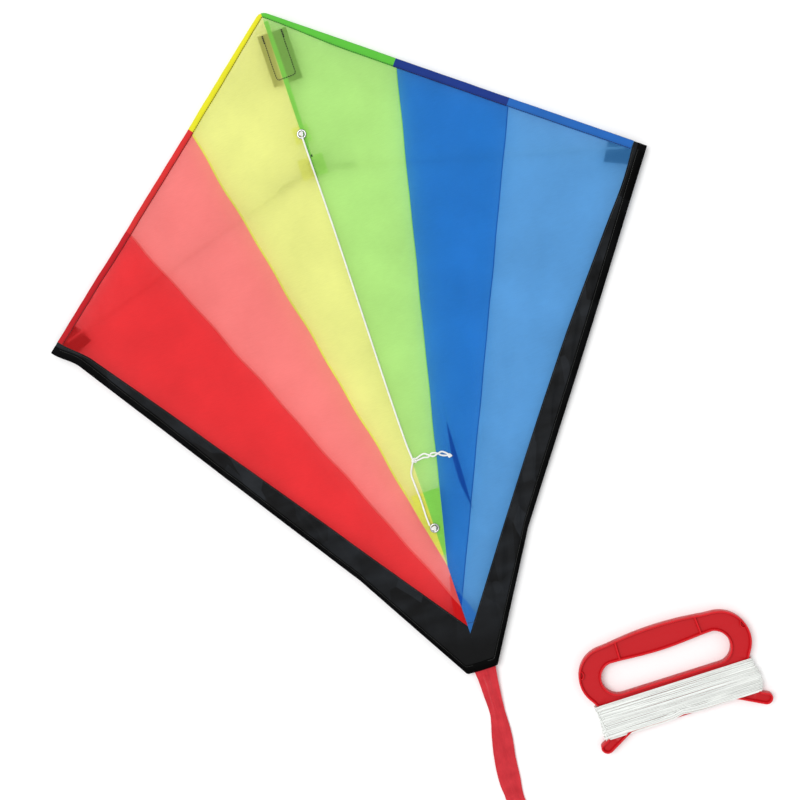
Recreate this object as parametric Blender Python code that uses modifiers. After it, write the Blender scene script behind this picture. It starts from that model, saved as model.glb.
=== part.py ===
"""Diamond kite lying flat and face up, with its tail and its line winder beside it.

Metres, +Z up. The origin is on the ground under the crossing of the spars. +Y runs along the spine
to the nose and +X runs across to the right wing tip.
"""

import math

import bmesh
import bpy
from mathutils import Matrix, Vector

GAP = 0.0003

# Sail, as its right half seen from the front
NOSE = Vector((0.0, 0.161))
WING_TIP = Vector((0.310, -0.085))
EDGE_BEND = Vector((0.0874, -0.398))
END_CORNER = Vector((0.0156, -0.519))
RAY_STARTS = (0.344, 0.6485)
RAY_ENDS = (-0.411, -0.454)
TRIM_START = 0.967
TRIM_SEAM_END = -0.480
CLOTH = 0.0004
SAIL_Z = 0.0072
SAIL_TOP = SAIL_Z + CLOTH

# Spars
SPAR_Z = 0.0038
ROD_RADIUS = 0.0015
BORE_RADIUS = ROD_RADIUS + GAP
SPINE_TOP = 0.128
SPINE_END = -0.504
HUB_SIZE = (0.0106, 0.0180, 0.0062)
FOLD_X = 0.0082
SLEEVE_RADIUS = 0.0024
SLEEVE_LENGTH = 0.034
SLEEVE_DEPTH = 0.022
CAP_RADIUS = 0.0023
CAP_LENGTH = 0.010
SPREADER_CLEARANCE = 0.009

# Eyelets and bridle
UPPER_EYELET_Y = 0.0356
LOWER_EYELET_Y = -0.3708
EYELET_HOLE = 0.0028
EYELET_RADIUS = 0.0044
FLANGE = 0.0006
CORD_RADIUS = 0.0009
LAY_Z = SAIL_TOP + GAP + CORD_RADIUS
CORD_Z = LAY_Z + 0.0013
KNOT_RADIUS = 0.0022
KNOT = Vector((0.0024, -0.3012, LAY_Z + 0.0008))

# Tail ribbon
TAIL_ROOT_Y = -0.5196
TAIL_CLOTH = 0.0008
FOLD_LENGTH = 0.092
FOLD_HEIGHT = 0.0125
FOLD_WIDTH = 0.027
FOLD_START = Vector((-0.0122, -0.6712))
FOLD_TURN = math.radians(-4.0)

# Line winder, in its own frame: +X along the grip, +Y towards the outside of the grip
WINDER_PLACE = (0.1725, -0.5640, 0.0)
WINDER_TURN = math.radians(0.7)
FRAME_HEIGHT = 0.010
WAIST_HEIGHT = 0.005
RIM = 0.0022
WEB = 0.0026
NECK_X = 0.0767
NECK_TOP = -0.0222
NECK_END = -0.0560
RIB_X = 0.0408
RIB_WIDTH = 0.0020
WRAP_HEIGHT = 0.0092
WRAP_X = 0.0795

COLOURS = {
    "red_cloth": (0.775, 0.023, 0.026),
    "coral_cloth": (0.965, 0.235, 0.215),
    "yellow_cloth": (0.870, 0.885, 0.275),
    "green_cloth": (0.462, 0.799, 0.223),
    "blue_cloth": (0.016, 0.162, 0.552),
    "light_blue_cloth": (0.100, 0.328, 0.680),
    "black_cloth": (0.006, 0.007, 0.009),
    "tail_cloth": (0.631, 0.036, 0.047),
    "spar_fibreglass": (0.75, 0.75, 0.70),
    "black_plastic": (0.012, 0.012, 0.013),
    "clear_vinyl": (0.55, 0.57, 0.56),
    "eyelet_metal": (0.72, 0.72, 0.73),
    "white_cord": (0.86, 0.86, 0.84),
    "winder_plastic": (0.665, 0.023, 0.030),
    "line": (0.82, 0.82, 0.80),
}
ROUGHNESS = {"spar_fibreglass": 0.4, "black_plastic": 0.45, "clear_vinyl": 0.25, "eyelet_metal": 0.22}
ROUGHNESS |= {"winder_plastic": 0.35, "line": 0.5}
METALLIC = {"eyelet_metal": 1.0}


def clear_scene():
    for old in list(bpy.data.objects):
        bpy.data.objects.remove(old, do_unlink=True)


def new_collection(name):
    collection = bpy.data.collections.new(name)
    bpy.context.scene.collection.children.link(collection)
    return collection


clear_scene()
KITE = new_collection("diamond_kite")
CUTTERS = new_collection("cutters")


def finish_named(name):
    """The Principled material of this name, made the first time it is asked for."""
    material = bpy.data.materials.get(name)
    if material:
        return material
    material = bpy.data.materials.new(name)
    material.use_nodes = True
    shader = material.node_tree.nodes["Principled BSDF"]
    shader.inputs["Base Color"].default_value = (*COLOURS[name], 1.0)
    shader.inputs["Roughness"].default_value = ROUGHNESS.get(name, 0.75)
    shader.inputs["Metallic"].default_value = METALLIC.get(name, 0.0)
    return material


def place(data, name, finish, collection=KITE):
    """Links a new object for this mesh or curve, with its material."""
    obj = bpy.data.objects.new(name, data)
    if finish:
        data.materials.append(finish_named(finish))
    collection.objects.link(obj)
    return obj


def as_cutter(obj):
    obj.hide_render = True
    obj.display_type = "WIRE"
    return obj


def smooth(mesh, degrees=40.0):
    mesh.shade_smooth()
    mesh.set_sharp_from_angle(angle=math.radians(degrees))


def to_mesh(obj):
    """Swaps a curve object for a welded mesh object of the same name, so that it can be cut."""
    bpy.context.view_layer.update()
    graph = bpy.context.evaluated_depsgraph_get()
    mesh = bpy.data.meshes.new_from_object(obj.evaluated_get(graph))
    bm = bmesh.new()
    bm.from_mesh(mesh)
    bmesh.ops.remove_doubles(bm, verts=bm.verts, dist=0.00001)
    bm.to_mesh(mesh)
    bm.free()
    name, matrix, collection = obj.name, obj.matrix_world.copy(), obj.users_collection[0]
    bpy.data.objects.remove(obj, do_unlink=True)
    swapped = bpy.data.objects.new(name, mesh)
    swapped.matrix_world = matrix
    collection.objects.link(swapped)
    return swapped


def cut(obj, cutter, operation="DIFFERENCE"):
    modifier = obj.modifiers.new(cutter.name, "BOOLEAN")
    modifier.operation = operation
    modifier.object = cutter


def moved_inside(outline, distance):
    """An outline that runs anticlockwise, with each side moved inwards by a distance."""
    moved = []
    for index, corner in enumerate(outline):
        before = (corner - outline[index - 1]).normalized()
        after = (outline[(index + 1) % len(outline)] - corner).normalized()
        inward = Vector((-after.y, after.x))
        halfway = (Vector((-before.y, before.x)) + inward).normalized()
        moved.append(corner + halfway * (distance / halfway.dot(inward)))
    return moved


def flat_piece(name, outlines, bottom, height, finish, collection=KITE):
    """A plate of this height from closed outlines; an outline inside another is a hole."""
    curve = bpy.data.curves.new(name, "CURVE")
    curve.dimensions = "2D"
    curve.fill_mode = "BOTH"
    curve.extrude = height / 2
    for outline in outlines:
        spline = curve.splines.new("POLY")
        spline.points.add(len(outline) - 1)
        spline.use_cyclic_u = True
        for point, corner in zip(spline.points, outline):
            point.co = (corner[0], corner[1], 0.0, 1.0)
    obj = place(curve, name, finish, collection)
    obj.location.z = bottom + height / 2
    return obj


def block(name, size, centre, finish, collection=KITE):
    mesh = bpy.data.meshes.new(name)
    bm = bmesh.new()
    bmesh.ops.create_cube(bm, size=1.0, matrix=Matrix.Diagonal((*size, 1.0)))
    bm.to_mesh(mesh)
    bm.free()
    obj = place(mesh, name, finish, collection)
    obj.location = centre
    return obj


def along(direction):
    """The rotation that turns +Z to a direction."""
    return Vector(direction).to_track_quat("Z", "Y").to_matrix().to_4x4()


def rod(name, start, end, radius, finish, sides=14, collection=KITE):
    """A solid round rod between two points."""
    start, end = Vector(start), Vector(end)
    mesh = bpy.data.meshes.new(name)
    bm = bmesh.new()
    size = {"radius1": radius, "radius2": radius, "depth": (end - start).length}
    bmesh.ops.create_cone(bm, cap_ends=True, segments=sides, **size)
    bm.to_mesh(mesh)
    bm.free()
    smooth(mesh)
    obj = place(mesh, name, finish, collection)
    obj.matrix_world = Matrix.Translation((start + end) / 2) @ along(end - start)
    return obj


def turned(name, profile, finish, sides=20, ring=False):
    """A profile of (radius, height) points, run down its outer side, turned about Z."""
    mesh = bpy.data.meshes.new(name)
    points = [(radius, 0.0, height) for radius, height in profile]
    edges = [(index, index + 1) for index in range(len(points) - 1)]
    if ring:
        edges.append((len(points) - 1, 0))
    mesh.from_pydata(points, edges, [])
    obj = place(mesh, name, finish)
    screw = obj.modifiers.new("turn", "SCREW")
    screw.steps = sides
    screw.render_steps = sides
    screw.use_merge_vertices = True
    screw.merge_threshold = 0.00001
    return obj


def cord(name, points, radius, finish):
    """A round cord along hand-placed points, read from the smooth curve through them."""
    route = smooth_route([Vector(point) for point in points], radius * 5.0)
    curve = bpy.data.curves.new(name, "CURVE")
    curve.dimensions = "3D"
    curve.bevel_depth = radius
    curve.bevel_resolution = 2
    curve.use_fill_caps = True
    spline = curve.splines.new("POLY")
    spline.points.add(len(route) - 1)
    for point, spot in zip(spline.points, route):
        point.co = (*spot, 1.0)
    return place(curve, name, finish)


def smooth_route(points, spacing):
    """Points about one spacing apart on the Catmull-Rom curve through the given ones."""
    ends = [points[0] * 2 - points[1], *points, points[-1] * 2 - points[-2]]
    route = [points[0]]
    for a, b, c, d in zip(ends, ends[1:], ends[2:], ends[3:]):
        steps = max(1, round((c - b).length / spacing))
        for step in range(1, steps + 1):
            t = step / steps
            bend = (a * 2 - b * 5 + c * 4 - d) * t * t + (b * 3 - a - c * 3 + d) * t ** 3
            route.append((b * 2 + (c - a) * t + bend) / 2)
    return route


def mirrored(outline):
    """The outline's left-hand copy, still running anticlockwise."""
    return [Vector((-corner.x, corner.y)) for corner in reversed(outline)]


def on_leading_edge(share):
    return NOSE.lerp(WING_TIP, share)


# Sail ---------------------------------------------------------------------------------------------


def sail_outlines():
    """The four outlines of the right half, anticlockwise, from the spine outwards."""
    starts = [NOSE, *(on_leading_edge(share) for share in (*RAY_STARTS, TRIM_START))]
    ends = [Vector((0.0, y)) for y in (NOSE.y, *RAY_ENDS, TRIM_SEAM_END)]
    rays = [[ends[1], starts[1], NOSE]]
    rays += [[ends[i + 1], starts[i + 1], starts[i], ends[i]] for i in (1, 2)]
    trim = [Vector((0.0, END_CORNER.y)), END_CORNER, EDGE_BEND, WING_TIP, starts[3], ends[3]]
    return [*rays, trim]


def eyelet_cutter(name, y):
    ends = ((0.0, y, 0.0), (0.0, y, 0.02))
    return as_cutter(rod(name, *ends, EYELET_HOLE + 0.0008, None, 20, CUTTERS))


def sail_panels(cutters):
    right = ["green", "blue", "light_blue"]
    left = ["yellow", "coral", "red"]
    for names, turn, trim in ((right, list, "right_trim"), (left, mirrored, "left_trim")):
        for name, outline in zip([*names, trim], sail_outlines()):
            node = name if name == trim else name + "_panel"
            finish = "black_cloth" if name == trim else name + "_cloth"
            sides = moved_inside(turn(outline), GAP / 2)
            panel = flat_piece(node, [sides], SAIL_Z, CLOTH, finish)
            if name == names[0]:
                panel = to_mesh(panel)
                for cutter in cutters:
                    cut(panel, cutter)


def patch(name, x_range, y_range, cutter=None):
    (left, right), (low, high) = x_range, y_range
    outline = [(left, low), (right, low), (right, high), (left, high)]
    piece = flat_piece(name, [outline], SAIL_Z - GAP - CLOTH, CLOTH, "black_cloth")
    if cutter:
        cut(to_mesh(piece), cutter)


def pouch(name, outline, walls, bottom=0.0008):
    """A sewn pocket under the sail: a floor of this outline, with walls up to the sail on some sides."""
    mesh = bpy.data.meshes.new(name)
    bm = bmesh.new()
    floor = [bm.verts.new((corner[0], corner[1], bottom)) for corner in outline]
    top = SAIL_Z - GAP
    rims = {i: bm.verts.new((outline[i][0], outline[i][1], top)) for w in walls for i in w}
    bm.faces.new(floor)
    for start, end in walls:
        bm.faces.new((floor[start], rims[start], rims[end], floor[end]))
    bmesh.ops.recalc_face_normals(bm, faces=bm.faces)
    bm.to_mesh(mesh)
    bm.free()
    obj = place(mesh, name, "black_cloth")
    sheet = obj.modifiers.new("cloth", "SOLIDIFY")
    sheet.thickness = CLOTH
    sheet.offset = 0.0


def pockets():
    nose = [(-0.0112, 0.0862), (0.0190, 0.0862), (0.0190, 0.1388), (-0.0112, 0.1388)]
    pouch("nose_pocket", nose, [(1, 2), (2, 3), (3, 0)])
    end = [(0.0090, -0.468), (-0.0090, -0.468), (-0.0090, -0.5085), (0.0090, -0.5085)]
    pouch("tail_pocket", end, [(1, 2), (2, 3), (3, 0)])
    for side, name in ((1, "right_wing_pocket"), (-1, "left_wing_pocket")):
        tip, inner = on_leading_edge(0.985), on_leading_edge(0.905)
        corner = [tip, inner, Vector((0.266, -0.089)), Vector((0.2925, -0.1005))]
        pouch(name, [(side * point.x, point.y - 0.002) for point in corner], [(0, 1)])


# Spars --------------------------------------------------------------------------------------------


def rod_cap(name, end, inward):
    """A soft cap pushed over a rod's end; inward points from that end along the rod."""
    top, low = 0.0, -CAP_LENGTH
    depth = top - 0.0020
    profile = [(0.0, top), (CAP_RADIUS * 0.7, top), (CAP_RADIUS, top - 0.0008), (CAP_RADIUS, low)]
    profile += [(BORE_RADIUS, low), (BORE_RADIUS, depth), (0.0, depth)]
    cap = turned(name, profile, "black_plastic", 16)
    cap.matrix_world = Matrix.Translation(end) @ along(-Vector(inward))
    return cap


def spine():
    top = Vector((0.0, SPINE_TOP, SPAR_Z))
    low = Vector((0.0, SPINE_END, SPAR_Z))
    inset = Vector((0.0, 0.0020 + GAP, 0.0))
    rod("spine_rod", top - inset, low + inset, ROD_RADIUS, "spar_fibreglass")
    rod_cap("spine_nose_cap", top, (0.0, -1.0, 0.0))
    rod_cap("spine_tail_cap", low, (0.0, 1.0, 0.0))


def cross_hub():
    centre = (0.0, 0.0, HUB_SIZE[2] / 2)
    hub = block("cross_hub", HUB_SIZE, centre, "clear_vinyl")
    rounding = hub.modifiers.new("rounding", "BEVEL")
    rounding.width = 0.0009
    rounding.segments = 2
    ends = ((0.0, -0.02, SPAR_Z), (0.0, 0.02, SPAR_Z))
    cut(hub, as_cutter(rod("hub_bore", *ends, BORE_RADIUS, None, 16, CUTTERS)))


def spreader(side, name):
    """A vinyl sleeve, a rod and its cap, on an empty at the point where the sleeve bends."""
    pivot = Vector((side * FOLD_X, 0.0, SPAR_Z))
    tip = Vector((side * WING_TIP.x, WING_TIP.y, SPAR_Z))
    outward = (tip - pivot).normalized()
    length = (tip - pivot).length - SPREADER_CLEARANCE
    joint = bpy.data.objects.new(name + "_joint", None)
    joint.location = pivot
    KITE.objects.link(joint)
    ball = [math.radians(angle) for angle in range(90, -1, -15)]
    profile = [(SLEEVE_RADIUS, SLEEVE_LENGTH), (SLEEVE_RADIUS, 0.0)]
    profile += [(SLEEVE_RADIUS * math.sin(a), -SLEEVE_RADIUS * math.cos(a)) for a in ball[1:-1]]
    profile += [(0.0, -SLEEVE_RADIUS), (0.0, SLEEVE_LENGTH - SLEEVE_DEPTH)]
    profile += [(BORE_RADIUS, SLEEVE_LENGTH - SLEEVE_DEPTH), (BORE_RADIUS, SLEEVE_LENGTH)]
    sleeve = turned(name + "_sleeve", profile, "clear_vinyl", 20, ring=True)
    sleeve.matrix_world = Matrix.Translation(pivot) @ along(outward)
    start = pivot + outward * (SLEEVE_LENGTH - SLEEVE_DEPTH + GAP)
    end = pivot + outward * (length - 0.0020 - GAP)
    shaft = rod(name + "_rod", start, end, ROD_RADIUS, "spar_fibreglass")
    cap = rod_cap(name + "_cap", pivot + outward * length, -outward)
    for piece in (sleeve, shaft, cap):
        piece.parent = joint
        piece.matrix_parent_inverse = Matrix.Translation(-pivot)


# Eyelets and bridle -------------------------------------------------------------------------------


def eyelet(name, y):
    """A pressed eyelet: a front flange with a rolled edge and a barrel that runs back through the cloth."""
    front, back = SAIL_TOP + GAP, SAIL_Z - CLOTH - 2 * GAP
    barrel = EYELET_HOLE + 0.0005
    profile = [(barrel, front), (barrel, back), (EYELET_HOLE, back), (EYELET_HOLE, front + FLANGE)]
    profile += [(EYELET_HOLE + 0.0003, front + FLANGE + 0.0003), (EYELET_RADIUS - 0.0003, front + FLANGE)]
    profile += [(EYELET_RADIUS, front + FLANGE / 2), (EYELET_RADIUS, front)]
    ring = turned(name, profile, "eyelet_metal", 28, ring=True)
    ring.location = (0.0, y, 0.0)


def hitch(name, y):
    """The cord's turn round the spine, which stands up through the eyelet."""
    mesh = bpy.data.meshes.new(name)
    obj = place(mesh, name, "white_cord")
    middle = ROD_RADIUS + GAP + CORD_RADIUS
    bm = bmesh.new()
    sides = 10
    ring = [math.tau * step / sides for step in range(sides)]
    spots = [(middle + CORD_RADIUS * math.cos(a), 0.0, CORD_RADIUS * math.sin(a)) for a in ring]
    verts = [bm.verts.new(spot) for spot in spots]
    edges = [bm.edges.new((verts[i - 1], verts[i])) for i in range(sides)]
    turn = {"axis": (0.0, 0.0, 1.0), "cent": (0.0, 0.0, 0.0), "angle": math.tau, "steps": 20}
    bmesh.ops.spin(bm, geom=[*verts, *edges], **turn)
    bmesh.ops.remove_doubles(bm, verts=bm.verts, dist=0.00001)
    bmesh.ops.recalc_face_normals(bm, faces=bm.faces)
    bm.to_mesh(mesh)
    bm.free()
    smooth(mesh, 60.0)
    obj.matrix_world = Matrix.Translation((0.0, y, SPAR_Z)) @ Matrix.Rotation(math.pi / 2, 4, "X")


def knot(name, centre, radius, squash=(1.0, 1.0, 0.75)):
    mesh = bpy.data.meshes.new(name)
    bm = bmesh.new()
    shape = Matrix.Diagonal((*squash, 1.0))
    bmesh.ops.create_uvsphere(bm, u_segments=14, v_segments=9, radius=radius, matrix=shape)
    bm.to_mesh(mesh)
    bm.free()
    smooth(mesh, 60.0)
    place(mesh, name, "white_cord").location = centre


def bridle():
    """Both legs lie on or just right of the line between their ends, which they swing about."""
    start, end = UPPER_EYELET_Y - 0.0028, LOWER_EYELET_Y + 0.0035
    reach = KNOT_RADIUS + GAP + 0.0002
    upper = [(0.0, start, CORD_Z), (-0.0002, 0.020, LAY_Z + 0.0004), (0.0004, -0.060, LAY_Z)]
    upper += [(0.0, -0.150, LAY_Z), (-0.0004, -0.230, LAY_Z), (0.0, -0.281, LAY_Z)]
    upper += [KNOT + Vector((-0.0013, reach, 0.0))]
    lower = [KNOT + Vector((-0.0022, -reach, 0.0)), (-0.0030, -0.312, LAY_Z)]
    lower += [(-0.0028, -0.322, LAY_Z), (-0.0020, -0.340, LAY_Z), (-0.0026, -0.357, LAY_Z)]
    lower += [(-0.0036, end, LAY_Z + 0.0010)]
    cord("bridle_upper_leg", upper, CORD_RADIUS, "white_cord")
    cord("bridle_lower_leg", lower, CORD_RADIUS, "white_cord")
    knot("bridle_knot", KNOT, KNOT_RADIUS)
    flat = (1.0, 1.0, 0.42)
    knot("upper_end_knot", (0.0, UPPER_EYELET_Y, CORD_Z), 0.0023, flat)
    knot("lower_end_knot", (-0.0004, LOWER_EYELET_Y, CORD_Z), 0.0025, flat)
    base = KNOT + Vector((reach, 0.0, 0.0))
    out = [(0.0128, -0.2978), (0.0171, -0.2999), (0.0214, -0.3018), (0.0271, -0.3004), (0.0330, -0.3030)]
    back = [(0.0352, -0.3055), (0.0330, -0.3061), (0.0271, -0.3036), (0.0214, -0.3050)]
    back += [(0.0171, -0.3031), (0.0128, -0.3010)]
    strands = [(x, y, LAY_Z) for x, y in [*out, *back]]
    loop = [base + Vector((0.0004, 0.0012, 0.0)), *strands, base + Vector((0.0004, -0.0014, 0.0))]
    cord("tow_loop", loop, CORD_RADIUS, "white_cord")
    knot("tow_loop_knot", (0.0379, -0.3078, LAY_Z), 0.0016)


# Tail ---------------------------------------------------------------------------------------------


def tail_strip():
    """The part of the ribbon that lies open: from the sail's end down to the ground and away."""
    stations = [(0.0024, TAIL_ROOT_Y, 0.0060, 0.0110), (0.0020, -0.530, 0.0048, 0.0098)]
    stations += [(0.0010, -0.545, 0.0026, 0.0088), (-0.0003, -0.567, 0.0010, 0.0079)]
    stations += [(-0.0034, -0.588, 0.0008, 0.0103), (-0.0080, -0.614, 0.0008, 0.0110)]
    stations += [(-0.0102, -0.636, 0.0008, 0.0107), (-0.0109, -0.652, 0.0008, 0.0092)]
    stations += [(-0.0118, -0.6705, 0.0008, 0.0110)]
    mesh = bpy.data.meshes.new("tail_strip")
    bm = bmesh.new()
    rows = [[bm.verts.new((x + s * half, y, z)) for s in (-1, 1)] for x, y, z, half in stations]
    for (a, b), (c, d) in zip(rows, rows[1:]):
        bm.faces.new((a, c, d, b))
    bm.to_mesh(mesh)
    bm.free()
    strip = place(mesh, "tail_strip", "tail_cloth")
    sheet = strip.modifiers.new("cloth", "SOLIDIFY")
    sheet.thickness = TAIL_CLOTH
    sheet.offset = 0.0


def tail_folds():
    """The rest of the ribbon, folded to and fro into a flat bundle that lies in line with the kite."""
    size = (FOLD_WIDTH, FOLD_LENGTH, FOLD_HEIGHT)
    bundle = block("tail_folds", size, (0.0, 0.0, 0.0), "tail_cloth")
    turn = Matrix.Rotation(FOLD_TURN, 4, "Z")
    centre = turn @ Vector((0.0, -FOLD_LENGTH / 2, 0.0))
    spot = Vector((FOLD_START.x, FOLD_START.y, FOLD_HEIGHT / 2)) + centre
    bundle.matrix_world = Matrix.Translation(spot) @ turn
    rounding = bundle.modifiers.new("rounding", "BEVEL")
    rounding.width = 0.0020
    rounding.segments = 2


# Winder -------------------------------------------------------------------------------------------


def arc(centre, radii, first, last, steps):
    """Points on part of an ellipse, by angles in degrees."""
    points = []
    for step in range(steps + 1):
        angle = math.radians(first + (last - first) * step / steps)
        spot = (centre[0] + radii[0] * math.cos(angle), centre[1] + radii[1] * math.sin(angle))
        points.append(Vector(spot))
    return points


def grip_top(steps=6):
    """The outer side of the grip: a shallow arch that is highest at the middle."""
    half = 0.0520
    xs = [half - 2 * half * step / steps for step in range(steps + 1)]
    return [Vector((x, 0.0366 - 0.0042 * (x / half) ** 2)) for x in xs]


def frame_outline():
    right = [Vector((NECK_X, NECK_END)), Vector((0.0863, -0.0610)), Vector((0.0871, -0.0645))]
    right += [*arc((0.0805, -0.0638), (0.0065, 0.0065), -10, -110, 4)]
    right.append(Vector((0.0535, NECK_END - 0.0004)))
    right = list(reversed(right))
    shoulder = arc((0.0560, 0.0020), (0.0302, 0.0304), -25, 84, 9)
    half = [*right, Vector((NECK_X, NECK_TOP)), *shoulder]
    return [*half, *grip_top()[1:-1], *reversed([Vector((-p.x, p.y)) for p in half])]


def finger_outline(grow=0.0):
    """The finger hole: round ends, a straight lower side and a grip that swells into it."""
    end = arc((0.0492, -0.0012), (0.0157 + grow, 0.0162 + grow), -84, 78, 9)
    xs = (0.030, 0.015, 0.0, -0.015, -0.030)
    swell = [Vector((x, 0.0118 + grow + 0.0028 * abs(x / 0.045) ** 1.6)) for x in xs]
    return [*end, *swell, *reversed([Vector((-p.x, p.y)) for p in end])]


def recess_cutter(name, bottom):
    """What the mould leaves out between the rims, the ribs and the finger hole, on one face."""
    edge = moved_inside(frame_outline(), RIM)
    above = [point for point in edge if point.y > NECK_TOP + 0.001]
    last = Vector((NECK_X - RIM, NECK_TOP + RIM))
    outline = [Vector((-last.x, last.y)), last, *above]
    depth = (FRAME_HEIGHT - WEB) / 2 + 0.001
    hole = [Vector((p.x, max(p.y, NECK_TOP + RIM + 0.0012))) for p in finger_outline(RIM)]
    plate = to_mesh(flat_piece(name, [outline, hole], bottom, depth, None, CUTTERS))
    for side in (-1, 1):
        size = (RIB_WIDTH, 0.04, 0.02)
        rib = block(f"{name}_rib_{side}", size, (side * RIB_X, 0.026, 0.005), None, CUTTERS)
        cut(plate, as_cutter(rib))
    return as_cutter(plate)


def waist_cutter(name, bottom):
    """Thins the frame where the line is wound."""
    size = (0.2, NECK_TOP - NECK_END, 0.01)
    centre = (0.0, (NECK_TOP + NECK_END) / 2, bottom + 0.005)
    return as_cutter(block(name, size, centre, None, CUTTERS))


def winder_frame(stand):
    outlines = [frame_outline(), finger_outline()]
    frame = flat_piece("winder_frame", outlines, 0.0, FRAME_HEIGHT, "winder_plastic")
    frame = to_mesh(frame)
    top = (FRAME_HEIGHT + WEB) / 2
    step = (FRAME_HEIGHT - WAIST_HEIGHT) / 2
    cutters = [recess_cutter("recess_top", top), recess_cutter("recess_back", -0.001)]
    cutters += [waist_cutter("waist_top", FRAME_HEIGHT - step), waist_cutter("waist_back", step - 0.01)]
    for cutter in cutters:
        cut(frame, cutter)
    for piece in (frame, *cutters, *CUTTERS.objects):
        if piece.name.startswith(("winder", "recess", "waist")):
            piece.parent = stand


def line_wrap(stand):
    """The wound line as one hollow band round the waist."""
    middle = FRAME_HEIGHT / 2
    low, high = middle - WRAP_HEIGHT / 2, middle + WRAP_HEIGHT / 2
    soft = 0.0022
    outer = [(-WRAP_X, middle), (-WRAP_X + soft, low), (WRAP_X - soft, low), (WRAP_X, middle)]
    outer += [(WRAP_X - soft, high), (-WRAP_X + soft, high)]
    inner_x, inner_low = NECK_X + GAP, middle - WAIST_HEIGHT / 2 - GAP
    inner_high = middle + WAIST_HEIGHT / 2 + GAP
    inner = [(-inner_x, inner_low), (inner_x, inner_low), (inner_x, inner_high), (-inner_x, inner_high)]
    length = NECK_TOP - NECK_END - 2 * GAP
    band = flat_piece("line_wrap", [outer, inner], 0.0, length, "line")
    spot = Matrix.Translation((0.0, (NECK_TOP + NECK_END) / 2, 0.0))
    band.matrix_world = spot @ Matrix.Rotation(math.pi / 2, 4, "X")
    band.parent = stand


def winder():
    stand = bpy.data.objects.new("winder_stand", None)
    KITE.objects.link(stand)
    stand.location = WINDER_PLACE
    stand.rotation_euler.z = WINDER_TURN
    winder_frame(stand)
    line_wrap(stand)


def main():
    upper = eyelet_cutter("upper_eyelet_hole", UPPER_EYELET_Y)
    lower = eyelet_cutter("lower_eyelet_hole", LOWER_EYELET_Y)
    sail_panels([upper, lower])
    patch("lower_eyelet_patch", (-0.0105, 0.0155), (-0.3990, -0.3405), lower)
    patch("upper_eyelet_patch", (-0.0080, 0.0080), (0.0270, 0.0440), upper)
    patch("crossing_patch", (-0.0130, 0.0130), (-0.0080, 0.0125))
    pockets()
    spine()
    cross_hub()
    spreader(1, "right_spreader")
    spreader(-1, "left_spreader")
    eyelet("upper_eyelet", UPPER_EYELET_Y)
    eyelet("lower_eyelet", LOWER_EYELET_Y)
    hitch("upper_hitch", UPPER_EYELET_Y)
    hitch("lower_hitch", LOWER_EYELET_Y)
    bridle()
    tail_strip()
    tail_folds()
    winder()


main()
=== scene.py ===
"""Diamond kite: the looks of its cloth, cords, tail and winder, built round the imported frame."""

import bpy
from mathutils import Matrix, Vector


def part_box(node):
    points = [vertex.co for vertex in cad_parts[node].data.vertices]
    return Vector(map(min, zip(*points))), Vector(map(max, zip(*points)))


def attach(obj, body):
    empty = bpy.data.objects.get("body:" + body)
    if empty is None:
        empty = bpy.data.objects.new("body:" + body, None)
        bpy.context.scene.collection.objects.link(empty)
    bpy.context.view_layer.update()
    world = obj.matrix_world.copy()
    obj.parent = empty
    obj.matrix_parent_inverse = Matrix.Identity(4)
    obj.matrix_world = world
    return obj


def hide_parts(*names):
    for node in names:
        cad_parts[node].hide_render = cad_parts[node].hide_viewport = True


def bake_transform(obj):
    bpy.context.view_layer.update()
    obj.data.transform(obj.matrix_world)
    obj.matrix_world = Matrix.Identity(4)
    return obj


bl_info = {
    "name": "Diamond kite",
    "version": (1, 0, 0),
    "blender": (4, 5, 0),
    "location": "View3D > Sidebar > Kite",
    "description": "Builds a diamond kite with its bridle, tail and winder round the packed frame",
    "category": "Add Mesh",
}

import math

import bmesh
import bpy
import numpy as np
from mathutils import Matrix, Vector

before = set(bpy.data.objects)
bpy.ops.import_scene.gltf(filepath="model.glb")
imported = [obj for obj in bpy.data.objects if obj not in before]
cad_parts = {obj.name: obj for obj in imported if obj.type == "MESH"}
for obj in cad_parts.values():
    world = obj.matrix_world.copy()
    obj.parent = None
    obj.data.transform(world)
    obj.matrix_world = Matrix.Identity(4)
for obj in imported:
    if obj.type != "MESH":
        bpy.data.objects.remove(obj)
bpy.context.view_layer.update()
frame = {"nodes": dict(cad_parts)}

# Plan of the sail's right half, in metres
NOSE = np.array((0.0, 0.161))
WING_TIP = np.array((0.310, -0.085))
EDGE_BEND = np.array((0.0874, -0.398))
END_CORNER = np.array((0.0156, -0.519))
RAY_SHARES = {-1: (0.338, 0.637), 1: (0.3545, 0.6485)}
RAY_ENDS = (-0.411, -0.454)
TRIM_START = 0.967
TRIM_SEAM_ENDS = {-1: -0.4735, 1: -0.4810}
UPPER_EYE, LOWER_EYE = 0.0356, -0.3708

SAIL_LOW, SAIL_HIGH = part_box("yellow_panel")[0].z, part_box("yellow_panel")[1].z
SAIL_MID = (SAIL_LOW + SAIL_HIGH) / 2
UNDER = SAIL_LOW - 0.0004
LAY_Z = SAIL_HIGH + 0.0003 + 0.0009
CORD_Z = LAY_Z + 0.0013
KNOT = Vector((0.0024, -0.3012, LAY_Z + 0.0008))
WINDER_PLACE, WINDER_TURN = (0.1725, -0.5640), math.radians(0.7)
NECK_X, NECK_TOP, NECK_END = 0.0767, -0.0222, -0.0560
WEB_MIDDLE = 0.005
RIBBON_LAY, RIBBON_POINTS = 0.0009, 29
TRIM_LENGTH = 0.53
POCKET_FLOOR = 0.0010
HUB_EDGE = 0.008
EYELET_HOLE = 0.0030
FAN_ROOT = -0.56
CORD_STEP = 0.00045
THREADS_PER_METRE = 640.0
FLOOR_HALF = 9.0

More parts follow.
